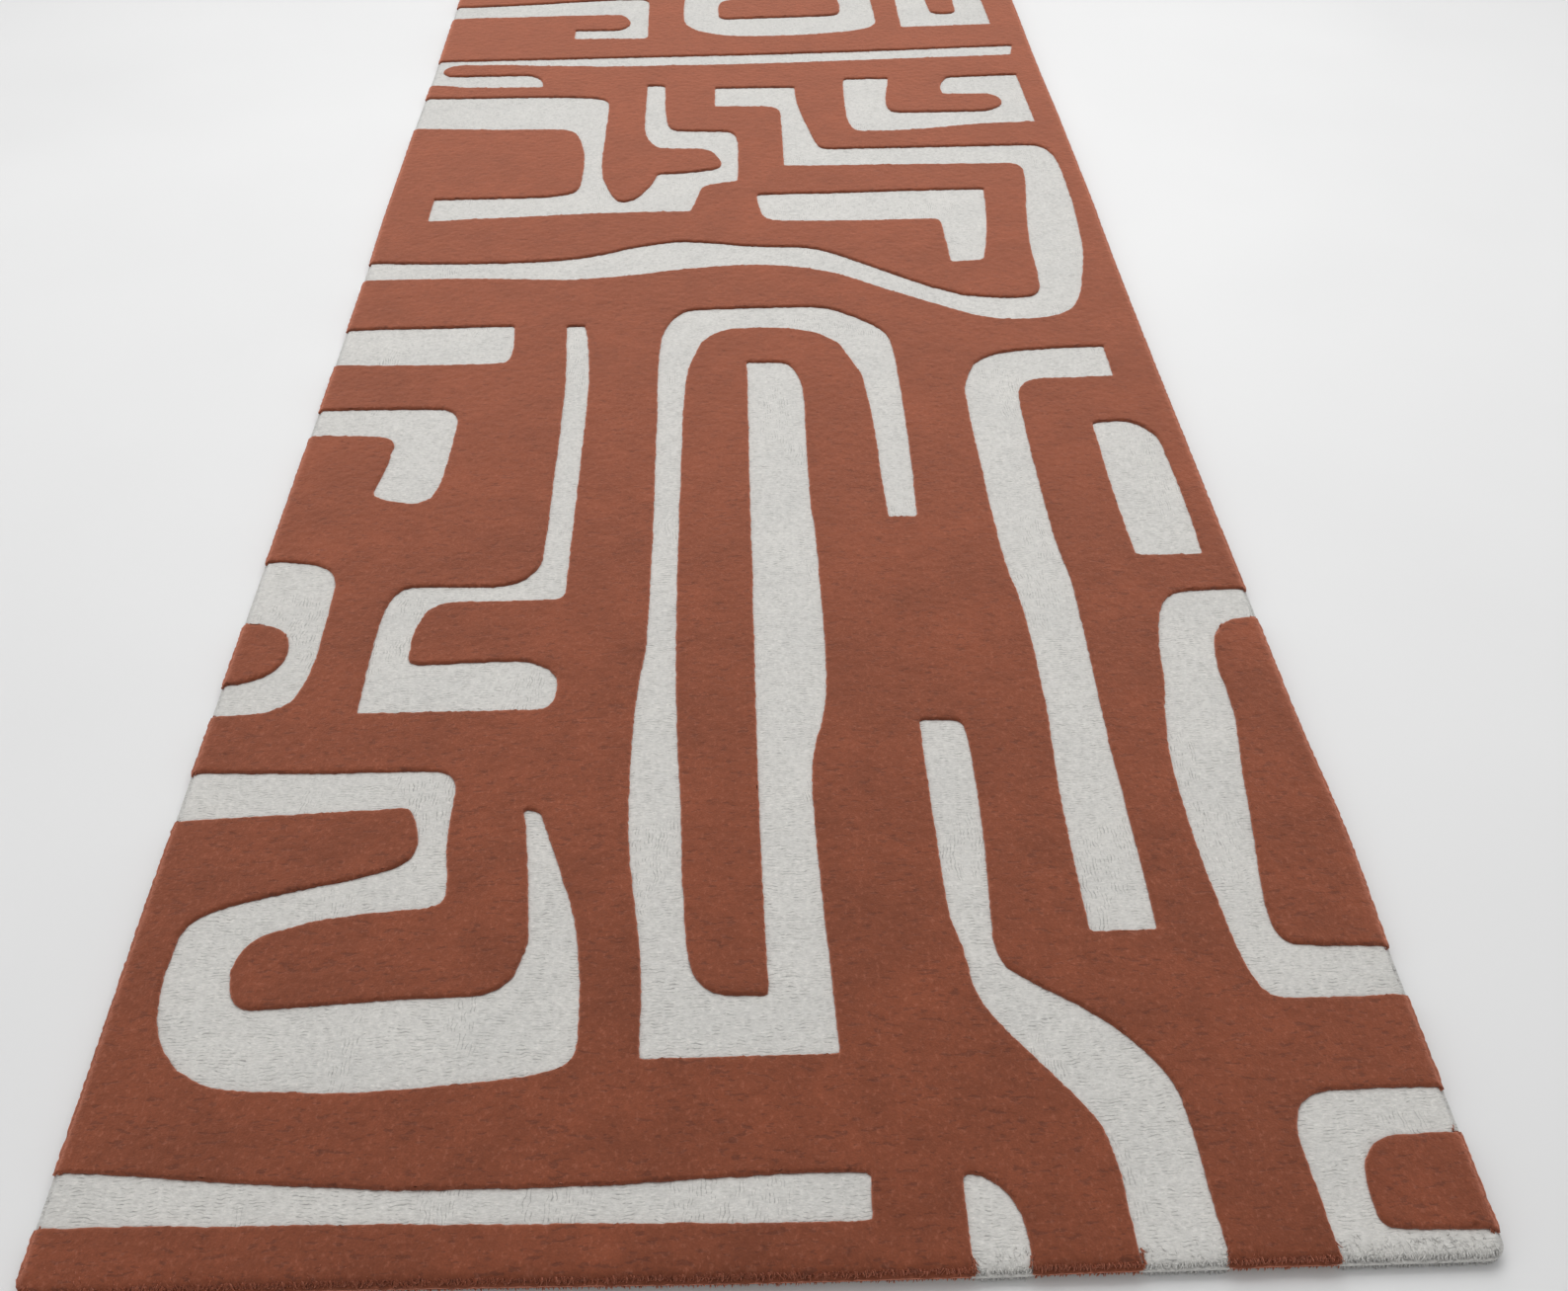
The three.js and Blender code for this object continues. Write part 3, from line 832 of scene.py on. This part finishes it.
def terracotta_wool():
    """The taller wool: cloudy dye, with painted shade in sparse ticks, row gaps and hollows between
    its tufts, and a painted highlight on its raised tips.
    """
    n = Nodes("terracotta_wool")
    drift = n.spread(n.noise((9, 12, 9), 3.0), 0.36, 0.64)
    colour = n.mix(drift, *TERRACOTTA)
    patches = n.spread(n.noise((44, 40, 38), 4.0, 0.62), 0.32, 0.68, 0.86, 1.14)
    gaps = row_gaps(n, 0, 1, 6 * MM, 0.3)
    specks = n.noise((380, 300, 300), 3.0, 0.6)
    ticks = n.spread(n.noise((140, 380, 200), 2.0, 0.5), 0.59, 0.65)
    fibres = n.spread(n.noise((900, 800, 900), 2.0, 0.6), 0.3, 0.7)
    # Painted shade: the row gaps, the ticks and the low specks are hollows in the relief below,
    # darkened here.
    dark = n.plus(n.times(gaps, 0.16), n.times(ticks, 0.6))
    dark = n.plus(dark, n.spread(specks, 0.3, 0.42, 0.28, 0.0))
    # Painted highlight: lighter where the specks raise the relief below.
    light = n.spread(specks, 0.55, 0.68, 0.0, 0.18)
    tone = n.times(patches, n.spread(n.value("shade"), 0, 1, 0.93, 1.07))
    tone = n.times(tone, n.spread(fibres, 0, 1, 0.88, 1.12))
    # Painted shade: the pile is darker the deeper a point lies below its top, down its walls and in
    # its grooves.
    tone = n.times(tone, n.spread(n.value("depth"), 0.06, 0.95, 1.0, 0.68))
    colour = n.mix(dark, colour, TERRACOTTA_PAINTED_SHADE)
    colour = n.mix(light, colour, TERRACOTTA_PAINTED_HIGHLIGHT)
    relief = n.minus(specks, n.times(ticks, 0.3))
    return wool_surface(
        n, n.toned(colour, tone), relief, fibres, 0.4,
        Sheen_Weight=1.0, Sheen_Roughness=0.57, Sheen_Tint=TERRACOTTA_SHEEN,
    )


def ivory_wool():
    """The lower wool: heathered, with short gaps that run across it, or here and there along it,
    darkened to grey as painted shade, and a painted highlight on its raised tips."""
    n = Nodes("ivory_wool")
    patches = n.spread(n.noise((14, 22, 14), 3.0), 0.35, 0.65)
    colour = n.mix(patches, *IVORY)
    turned = n.spread(n.noise((16, 9, 9), 1.0), 0.58, 0.62)
    gaps = n.add("ShaderNodeMix", data_type="FLOAT")
    across_rows = row_gaps(n, 0, 1, 7 * MM, 5.1)
    along_rows = row_gaps(n, 1, 0, 7 * MM, 9.4)
    for socket, value in ((0, turned), (2, across_rows), (3, along_rows)):
        n.put(gaps.inputs[socket], value)
    gaps = gaps.outputs[0]
    specks = n.noise((300, 480, 300), 3.0, 0.6)
    fibres = n.spread(n.noise((420, 1150, 900), 2.0, 0.6), 0.32, 0.68)
    # Painted highlight: lighter where the specks raise the relief below.
    light = n.spread(specks, 0.55, 0.68, 0.0, 0.4)
    tone = n.spread(n.value("shade"), 0, 1, 0.96, 1.03)
    tone = n.times(tone, n.spread(fibres, 0, 1, 0.9, 1.08))
    # Painted shade: darker where the specks make hollows in the relief.
    tone = n.times(tone, n.spread(specks, 0.3, 0.45, 0.9, 1.0))
    # Painted shade: darker the deeper a point lies below the top of the pile.
    tone = n.times(tone, n.spread(n.value("depth"), 0.1, 1.0, 1.0, 0.78))
    # Painted shade: the row gaps, grooves in the relief below, darkened to grey.
    colour = n.mix(n.times(gaps, 0.85), colour, IVORY_PAINTED_SHADE)
    colour = n.mix(light, colour, IVORY_PAINTED_HIGHLIGHT)
    relief = n.minus(specks, n.times(gaps, 0.5))
    return wool_surface(
        n, n.toned(colour, tone), relief, fibres, 0.35,
        Sheen_Weight=0.4, Sheen_Roughness=0.5, Sheen_Tint=IVORY_SHEEN,
    )


def woven(name, pitch, light, dark, ribs):
    """A woven cloth: rounded threads over and under each other. ribs is plain or twill."""
    n = Nodes(name)
    place = n.add("ShaderNodeSeparateXYZ", {"Vector": n.places()})
    turn = 2 * math.pi / pitch
    x = n.times(place.outputs[0], turn)
    y = n.times(place.outputs[1], turn)
    if ribs == "twill":
        slope = n.math("SINE", n.plus(n.times(x, 0.5), n.times(y, 0.5)))
        thread = n.math("SINE", n.times(y, 2.0))
        relief = n.plus(slope, n.times(thread, 0.35))
        relief = n.spread(relief, -1.35, 1.35)
    else:
        relief = n.times(n.math("SINE", x), n.math("SINE", y))
        relief = n.spread(relief, -1, 1)
    slubs = n.spread(n.noise((90, 900, 90), 2.0), 0.35, 0.7)
    patches = n.spread(n.noise(14, 3.0), 0.3, 0.7)
    colour = n.mix(relief, dark, light)
    colour = n.mix(n.times(slubs, 0.25), colour, light)
    colour = n.toned(colour, n.spread(patches, 0, 1, 0.88, 1.05))
    normal = n.bump(relief, 0.35 * MM, 0.7)
    return n.set(
        Base_Color=colour, Normal=normal, Roughness=0.9, Specular_IOR_Level=0.15,
        Sheen_Weight=0.12, Sheen_Roughness=0.5,
    )


def cured_latex():
    """Dull, lumpy latex with darker stains."""
    n = Nodes("cured_latex")
    lumps = n.noise(160, 4.0)
    stain = n.spread(n.noise(30, 3.0), 0.3, 0.7)
    colour = n.mix(stain, srgb(222, 210, 178), srgb(201, 186, 148))
    normal = n.bump(lumps, 0.5 * MM, 0.6)
    return n.set(Base_Color=colour, Normal=normal, Roughness=0.55, Specular_IOR_Level=0.4)


def sewing_thread():
    """Sand-coloured thread with a fine twist."""
    n = Nodes("sewing_thread")
    twist = n.noise((1400, 1400, 400), 1.0)
    colour = n.mix(n.spread(twist, 0.35, 0.65), srgb(176, 150, 118), srgb(208, 184, 150))
    normal = n.bump(twist, 0.1 * MM, 0.6)
    return n.set(Base_Color=colour, Normal=normal, Roughness=0.6, Specular_IOR_Level=0.3)


def studio_floor():
    """A plain pale floor."""
    n = Nodes("studio_floor")
    tone = n.spread(n.noise(3, 2.0), 0.3, 0.7)
    colour = n.mix(tone, srgb(229, 229, 229), srgb(232, 232, 232))
    return n.set(Base_Color=colour, Roughness=0.9, Specular_IOR_Level=0.1)


# -------- splayed strands


STRAND_SIDES = 3
STRANDS_PER_TUFT = 3
TUFT_SPACING = 2.3 * MM
STRAND_SHADE_DEPTHS = np.repeat([0.24, 0.12, 0.03, 0.0], [STRAND_SIDES] * 3 + [1])  # depths that set the painted shade along a strand, root to tip
# (height of the roots, setback from the edge, reach outwards, fall, share of tufts that
# have come loose at the sides, and at the ends)
STRAND_ROWS = (
    (12.5 * MM, 12.6 * MM, 2.6 * MM, 0.4 * MM, 0.0, 0.25),
    (12.4 * MM, 10.4 * MM, 2.7 * MM, 0.6 * MM, 0.0, 0.55),
    (12.2 * MM, 8.2 * MM, 2.9 * MM, 1.0 * MM, 0.0, 0.85),
    (11.9 * MM, 6.0 * MM, 3.0 * MM, 1.5 * MM, 0.0, 1.0),
    (11.5 * MM, 4.0 * MM, 3.0 * MM, 2.2 * MM, 0.4, 1.0),
    (11.0 * MM, 2.4 * MM, 2.8 * MM, 2.6 * MM, 0.6, 1.0),
    (10.2 * MM, 1.4 * MM, 1.9 * MM, 3.2 * MM, 1.0, 1.0),
    (7.8 * MM, 0.6 * MM, 1.2 * MM, 3.2 * MM, 0.0, 1.0),
    (5.4 * MM, 0.6 * MM, 1.1 * MM, 3.2 * MM, 1.0, 1.0),
)


def tuft_places(loose_at_sides, loose_at_ends, rng):
    """Points round the rug's edge, one to a tuft and repeated for each of its strands, with
    the way out at each."""
    places, ways, at_end = [], [], []
    for half_along, half_out, axis, loose in (
        (HALF_WIDTH, HALF_LENGTH, 0, loose_at_ends),
        (HALF_LENGTH, HALF_WIDTH, 1, loose_at_sides),
    ):
        count = round(2 * half_along / TUFT_SPACING)
        for side in (-1, 1):
            along = (np.arange(count) + rng.uniform(0.2, 0.8, count)) / count * 2 - 1
            along = along[rng.random(count) < loose] * (half_along - 0.3 * CORNER_RADIUS)
            along = np.repeat(along, STRANDS_PER_TUFT)
            place = np.zeros((len(along), 2))
            way = np.zeros((len(along), 2))
            place[:, axis] = along
            place[:, 1 - axis] = side * half_out
            way[:, 1 - axis] = side
            places.append(place)
            ways.append(way)
            at_end.append(np.full(len(along), axis == 0))
    return np.concatenate(places), np.concatenate(ways), np.concatenate(at_end)


def strand_mesh(name, roots, out, reach, fall, thick, lean, shade):
    """One mesh of many tapering strands that arch outwards and hang."""
    count = len(roots)
    sideways = np.column_stack([left_of(out), np.zeros(count)])
    outward = np.column_stack([out, np.zeros(count)])
    down = np.array([0, 0, -1.0])
    rings = []
    for share in (0.0, 0.4, 0.75):
        centre = roots + outward * (reach * (1 - (1 - share) ** 2))[:, None]
        centre = centre + sideways * (lean * share)[:, None]
        centre = centre + down * (fall * share**1.8 - 0.4 * MM * share)[:, None]
        width = thick * (1 - 0.45 * share)
        tilt = share * 1.2
        for k in range(STRAND_SIDES):
            angle = 2 * math.pi * k / STRAND_SIDES
            lift = outward * math.sin(tilt) - down * math.cos(tilt)
            spoke = sideways * math.cos(angle) + lift * math.sin(angle)
            rings.append(centre + spoke * width[:, None])
    tip = roots + outward * reach[:, None] + sideways * lean[:, None] + down * fall[:, None]
    points = np.stack(rings + [tip], axis=1)
    points[:, :, 2] = np.maximum(points[:, :, 2], 0.15 * MM)
    last, sides = 2 * STRAND_SIDES, range(STRAND_SIDES)
    pattern = tube_sides(2, STRAND_SIDES)
    pattern += [(last + k, last + (k + 1) % STRAND_SIDES, last + STRAND_SIDES) for k in sides]
    pattern.append((2, 1, 0))
    per = points.shape[1]
    faces = repeated(pattern, count, per)
    # Painted shade: strands rooted lower down the pile's wall are darker, and each strand is darker
    # towards its root.
    low_down = np.clip((9 * MM - roots[:, 2]) / (12 * MM), 0, 0.5)
    depth = np.tile(STRAND_SHADE_DEPTHS, count) + np.repeat(low_down, per)
    values = {"depth": depth, "shade": np.repeat(shade, per)}
    return mesh_object(name, points.reshape(-1, 3), faces, values)


def nearest_rim_point(places, rim_points):
    """The index of the lattice's edge point that is nearest to each place."""
    nearest = np.zeros(len(places), int)
    for first in range(0, len(places), 500):
        some = slice(first, first + 500)
        gaps = ((places[some, None] - rim_points[None]) ** 2).sum(axis=2)
        nearest[some] = gaps.argmin(axis=1)
    return nearest


def build_strands(rim_points, rim_ivory, terracotta, ivory):
    """The outermost tufts, which nothing holds upright, as strands in their own colour."""
    rng = np.random.default_rng(SEEDS["strands"])
    groups = []
    for height, setback, reach, fall, at_sides, at_ends in STRAND_ROWS:
        places, out, at_end = tuft_places(at_sides, at_ends, rng)
        count = len(places)
        edge_x, edge_y = lie(*(places - out * 0.2 * MM).T)
        roots = beside(edge_x, edge_y, np.zeros(count))
        jitter = rng.uniform(-1, 1, (count, 2)) * 0.8 * MM
        roots[:, :2] += jitter - out * setback
        is_ivory = rim_ivory[nearest_rim_point(places, rim_points)]
        roots[:, 2] = height - rng.uniform(0, 0.5, count) * MM - np.where(is_ivory, 2.1, 0) * MM
        scale = np.where(at_end, 1.0, 0.6) * rng.uniform(0.5, 1.2, count)
        lean = rng.normal(0, 0.55, count) * reach
        group = {"roots": roots, "out": out, "reach": reach * scale}
        group["fall"] = fall * rng.uniform(0.7, 1.2, count)
        group["thick"] = rng.uniform(0.42, 0.75, count) * MM
        group["lean"] = lean
        group["shade"] = rng.random(count)
        group["is_ivory"] = is_ivory
        groups.append(group)
    merged = {key: np.concatenate([group[key] for group in groups]) for key in groups[0]}
    is_ivory = merged.pop("is_ivory")
    made = []
    for name, mine, material, slot in (
        ("terracotta_edge_strands", ~is_ivory, terracotta, "terracotta_wool"),
        ("ivory_edge_strands", is_ivory, ivory, "ivory_wool"),
    ):
        piece = strand_mesh(name, **{key: values[mine] for key, values in merged.items()})
        made.append(finish_piece(piece, material, slot))
    return made


# -------- the back


def ring_points(inset, z, spacing=6 * MM):
    """Points round the rug, a given distance inside its edge."""
    x_half, y_half = HALF_WIDTH - inset, HALF_LENGTH - inset
    n, m = round(2 * HALF_WIDTH / spacing), round(2 * HALF_LENGTH / spacing)
    s, t = np.arange(n) / n * 2 - 1, np.arange(m) / m * 2 - 1
    x = np.concatenate([s * x_half, np.full(m, x_half), -s * x_half, np.full(m, -x_half)])
    y = np.concatenate([np.full(n, -y_half), t * y_half, np.full(n, y_half), -t * y_half])
    x, y = lie(x, y)
    return beside(x, y, np.full(len(x), z))


def ringed_slab(name, rings, smooth=False):
    """A flat piece from rings of points round the rug, from its top to its underside."""
    count = len(rings[0])
    middles = [[0, 0, rings[0][0, 2]], [0, 0, rings[-1][0, 2]]]
    points = np.concatenate([*rings, middles])
    k = np.arange(count)
    onward = np.roll(k, -1)
    faces = []
    for level in range(len(rings) - 1):
        a, b = level * count + k, level * count + onward
        faces += strip(a, b, a + count, b + count)
    top, bottom = len(points) - 2, len(points) - 1
    last = (len(rings) - 1) * count
    faces.append(beside(k, onward, np.full(count, top)))
    faces.append(beside(last + onward, last + k, np.full(count, bottom)))
    return mesh_object(name, points, np.concatenate(faces), smooth=smooth)


def latex_piece(material):
    """The latex, spread by hand, so that its edge is round and runs in and out a little."""
    low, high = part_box("latex_coat")
    inset = HALF_WIDTH - high.x
    thickness = high.z - low.z
    rings = []
    for share, tuck in ((1.0, 0.5), (0.8, 0.1), (0.5, 0.0), (0.2, 0.1), (0.0, 0.5)):
        ring = ring_points(inset, low.z + thickness * share)
        uneven = 0.5 + 0.5 * cell_noise(ring[:, 0], ring[:, 1], 14 * MM, 14 * MM, SEEDS["latex"])
        shrink = (tuck * thickness + 1.2 * MM * uneven) / HALF_WIDTH
        ring[:, :2] *= (1 - shrink)[:, None]
        rings.append(ring)
    piece = ringed_slab("latex_layer", rings)
    return finish_piece(piece, material, "latex", "latex_coat")


def primary_cloth_piece(material):
    """The tufted cloth, with its margin turned down over the edge of the latex."""
    low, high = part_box("primary_cloth")
    inset = HALF_WIDTH - high.x
    hem_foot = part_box("latex_coat")[0].z + 0.1 * MM
    thickness = high.z - low.z
    rings = [
        ring_points(inset + 0.5 * MM, high.z),
        ring_points(inset, high.z - 0.35 * MM),
        ring_points(inset, hem_foot),
        ring_points(inset + thickness, hem_foot),
        ring_points(inset + thickness, low.z),
    ]
    piece = ringed_slab("primary_cloth_sheet", rings)
    return finish_piece(piece, material, "primary_cloth", "primary_cloth")


def cloth_panel(name, corners, low, high, material, slot, node, ripple):
    """A thin cloth panel between four corners: a closed sheet with soft ripples below."""
    corners = np.array(corners)
    width = np.linalg.norm(corners[1] - corners[0])
    length = np.linalg.norm(corners[3] - corners[0])
    n, m = max(4, round(width / (6 * MM))), max(4, round(length / (6 * MM)))
    s, t = np.meshgrid(np.arange(n + 1) / n, np.arange(m + 1) / m)
    s, t = s.ravel()[:, None], t.ravel()[:, None]
    near = corners[0] * (1 - s) + corners[1] * s
    far = corners[3] * (1 - s) + corners[2] * s
    x, y = (near * (1 - t) + far * t).T
    swell = cell_noise(x, y, 19 * MM, 23 * MM, SEEDS["ripple"]) * 0.5 + 0.5
    edge = np.minimum(np.minimum(s, 1 - s) * width, np.minimum(t, 1 - t) * length).ravel()
    rounding = 0.27 * (high - low) * (1 - np.clip(edge / (1.5 * MM), 0, 1))
    x, y = lie(x, y)
    under = beside(x, y, low + 0.02 * MM + ripple * swell + rounding)
    over = beside(x, y, np.full(len(x), high) - rounding)
    index = np.arange((n + 1) * (m + 1)).reshape(m + 1, n + 1)
    a, b = index[:-1, :-1].ravel(), index[:-1, 1:].ravel()
    c, d = index[1:, 1:].ravel(), index[1:, :-1].ravel()
    size = len(x)
    upper = np.concatenate([beside(a, b, c), beside(a, c, d)])
    lower = upper[:, ::-1] + size
    rim = np.concatenate([index[0, :-1], index[:-1, -1], index[-1, :0:-1], index[:0:-1, 0]])
    onward = np.roll(rim, -1)
    wall = strip(rim, onward, rim + size, onward + size)
    points = np.concatenate([over, under])
    piece = mesh_object(name, points, np.concatenate([upper, lower, *wall]), smooth=False)
    return finish_piece(piece, material, slot, node)


def flat_size(node):
    """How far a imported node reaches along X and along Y."""
    low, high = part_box(node)
    return high.x - low.x, high.y - low.y


def tape_corners(node):
    """The mitred outline of a tape, anticlockwise from its outer edge."""
    low, high = (np.array(corner)[:2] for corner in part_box(node))
    width = min(high - low)
    along = int(np.argmax(high - low))
    across = 1 - along
    at_high = low[across] + high[across] > 0
    outer, inner = (high, low) if at_high else (low, high)
    corners = np.zeros((4, 2))
    corners[:2, across] = outer[across]
    corners[2:, across] = inner[across]
    corners[:, along] = low[along], high[along], high[along] - width, low[along] + width
    clockwise = at_high if across == 1 else not at_high
    return corners[[1, 0, 3, 2]] if clockwise else corners


STITCH_LENGTH = 5.2 * MM
STITCH_PITCH = 8 * MM
STITCH_RADIUS = 0.35 * MM
STITCH_SIDES = 6
# (place along the stitch, thickness, how far it is sunk)
STITCH_SHAPE = (
    (-0.5, 0.5, 0.55),
    (-0.36, 0.95, 0.1),
    (0.0, 1.0, 0.0),
    (0.36, 0.95, 0.1),
    (0.5, 0.5, 0.55),
)
SEAM_SETBACK = 2.5 * MM  # of the two rows, from either edge of a tape
TAPE_LIFT = 0.34 * MM  # of the tapes' undersides, where their stitches stand proud


def stitch_row(start, end, rng):
    """Centres and ways of the stitches of one straight row."""
    way = (end - start) / np.linalg.norm(end - start)
    count = int(np.linalg.norm(end - start) / STITCH_PITCH)
    at = (np.arange(count) + 0.5 + rng.uniform(-0.06, 0.06, count)) * STITCH_PITCH
    return start + at[:, None] * way, np.tile(way, (count, 1))


def stitches(name, rows, z, material):
    """Short rounded threads that sink into the tape at both ends."""
    rng = np.random.default_rng(SEEDS["stitches"])
    made = [stitch_row(np.array(a), np.array(b), rng) for a, b in rows]
    centre = np.concatenate([row[0] for row in made])
    way = np.concatenate([row[1] for row in made])
    count, sides = len(centre), STITCH_SIDES
    swing = rng.normal(0, 0.08, count)
    way = way * np.cos(swing)[:, None] + left_of(way) * np.sin(swing)[:, None]
    across = left_of(way)
    centre = np.stack(lie(*centre.T), axis=1)
    rings = []
    for place, girth, sink in STITCH_SHAPE:
        for k in range(sides):
            angle = 2 * math.pi * k / sides
            flat = centre + way * place * STITCH_LENGTH
            flat = flat + across * math.cos(angle) * girth * STITCH_RADIUS
            level = z + (math.sin(angle) * girth + sink) * STITCH_RADIUS
            rings.append(np.column_stack([flat, np.full(count, level)]))
    points = np.stack(rings, axis=1)
    last = (len(STITCH_SHAPE) - 1) * sides
    pattern = tube_sides(len(STITCH_SHAPE) - 1, sides)
    for k in range(1, sides - 1):
        pattern += [(0, k + 1, k), (last, last + k, last + k + 1)]
    faces = repeated(pattern, count, points.shape[1])
    piece = mesh_object(name, points.reshape(-1, 3), faces)
    return finish_piece(piece, material, "binding_tape")


def build_back():
    """The cloths, latex, tapes and stitches."""
    canvas_weave = woven("natural_canvas", 1.5 * MM, srgb(214, 203, 178), srgb(168, 154, 126), "plain")
    tufting_cloth = woven("tufting_cloth", 2.0 * MM, srgb(206, 196, 172), srgb(150, 138, 112), "plain")
    twill = woven("rust_twill", 1.3 * MM, srgb(138, 84, 64), srgb(92, 52, 40), "twill")
    thread = sewing_thread()

    latex_piece(cured_latex())
    cloth = primary_cloth_piece(tufting_cloth)
    low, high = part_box("canvas_backing")
    corners = [(low.x, low.y), (high.x, low.y), (high.x, high.y), (low.x, high.y)]
    canvas = cloth_panel(
        "canvas_sheet", corners, low.z, high.z, canvas_weave, "backing_canvas", "canvas_backing",
        0.22 * MM,
    )
    for node in TAPES:
        low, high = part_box(node)
        width, length = sorted(flat_size(node))
        corners = tape_corners(node)
        tape = cloth_panel(
            node.replace("_tape", "_twill_tape"), corners, low.z + TAPE_LIFT, high.z, twill,
            "binding_tape", node, 0.0,
        )
        rows = []
        for setback in (SEAM_SETBACK, width - SEAM_SETBACK):
            share = setback / width
            outer, inner = np.array(corners[:2]), np.array(corners[2:])[::-1]
            start, end = outer * (1 - share) + inner * share
            rows.append((start, end))
        seam = stitches(node.replace("_tape", "_stitches"), rows, STITCH_RADIUS + 0.03 * MM, thread)
    return cloth


# -------- floor, light and camera


FLOOR_REACH = 9.0
SURROUND_STRENGTH = 0.41
# (name, place, what it is aimed at, size, power in watts)
SOFTBOXES = (
    ("far_softbox", (0.3, 3.4, 3.0), (0, 0, 0), (3.6, 2.6), 54),
    ("overhead_softbox", (0.2, 0.2, 1.9), (0.2, 0.2, 0), (1.8, 1.8), 22),
    ("front_softbox", (0.4, -3.6, 1.7), (0, -1.2, 0), (3.2, 1.6), 10),
    ("left_softbox", (-2.6, -0.4, 2.6), (0, -0.3, 0), (2.4, 3.0), 20),
)


def build_stage():
    """The floor that the rug lies on."""
    mesh = bpy.data.meshes.new("studio_floor")
    corners = [(x * FLOOR_REACH, y * FLOOR_REACH, 0) for x, y in ((-1, -1), (1, -1), (1, 1), (-1, 1))]
    mesh.from_pydata(corners, [], [(0, 1, 2, 3)])
    mesh.materials.append(studio_floor())
    new_object("studio_floor", mesh)


def area_light(name, place, aim, size, power):
    """A rectangular softbox at one place, aimed at another."""
    data = bpy.data.lights.new(name, "AREA")
    data.shape = "RECTANGLE"
    data.size, data.size_y = size
    data.energy = power
    light = new_object(name, data)
    light.location = place
    light.rotation_euler = (Vector(aim) - Vector(place)).to_track_quat("-Z", "Y").to_euler()


def build_light():
    """Soft studio light: an even surround and four softboxes."""
    world = bpy.data.worlds.new("studio")
    world.use_nodes = True
    background = world.node_tree.nodes["Background"]
    background.inputs["Color"].default_value = (1.0, 1.0, 1.0, 1)
    background.inputs["Strength"].default_value = SURROUND_STRENGTH
    bpy.context.scene.world = world
    bpy.context.scene.view_settings.view_transform = "Standard"
    for softbox in SOFTBOXES:
        area_light(*softbox)


# The view: 35 mm lens, looking along the rug and 42 degrees down from just before its end.
CAMERA_PLACE = (-3.9 * MM, -1587.5 * MM, 773.2 * MM)
CAMERA_PITCH = math.radians(41.94)
CAMERA_YAW = math.radians(1.846)
CAMERA_LENS = 35.41


def build_camera():
    """The camera, at the photograph's viewing angle."""
    data = bpy.data.cameras.new("camera")
    data.lens = CAMERA_LENS
    data.sensor_width = 36
    data.sensor_fit = "HORIZONTAL"
    data.clip_start = 0.02
    camera = new_object("camera", data)
    camera.location = CAMERA_PLACE
    camera.rotation_euler = Euler((math.pi / 2 - CAMERA_PITCH, 0, -CAMERA_YAW))
    bpy.context.scene.camera = camera


build_camera()
build_stage()
build_light()
terracotta, ivory = terracotta_wool(), ivory_wool()
pile, rim_points, rim_ivory = build_pile(terracotta, ivory)
strands = build_strands(rim_points, rim_ivory, terracotta, ivory)
cloth = build_back()
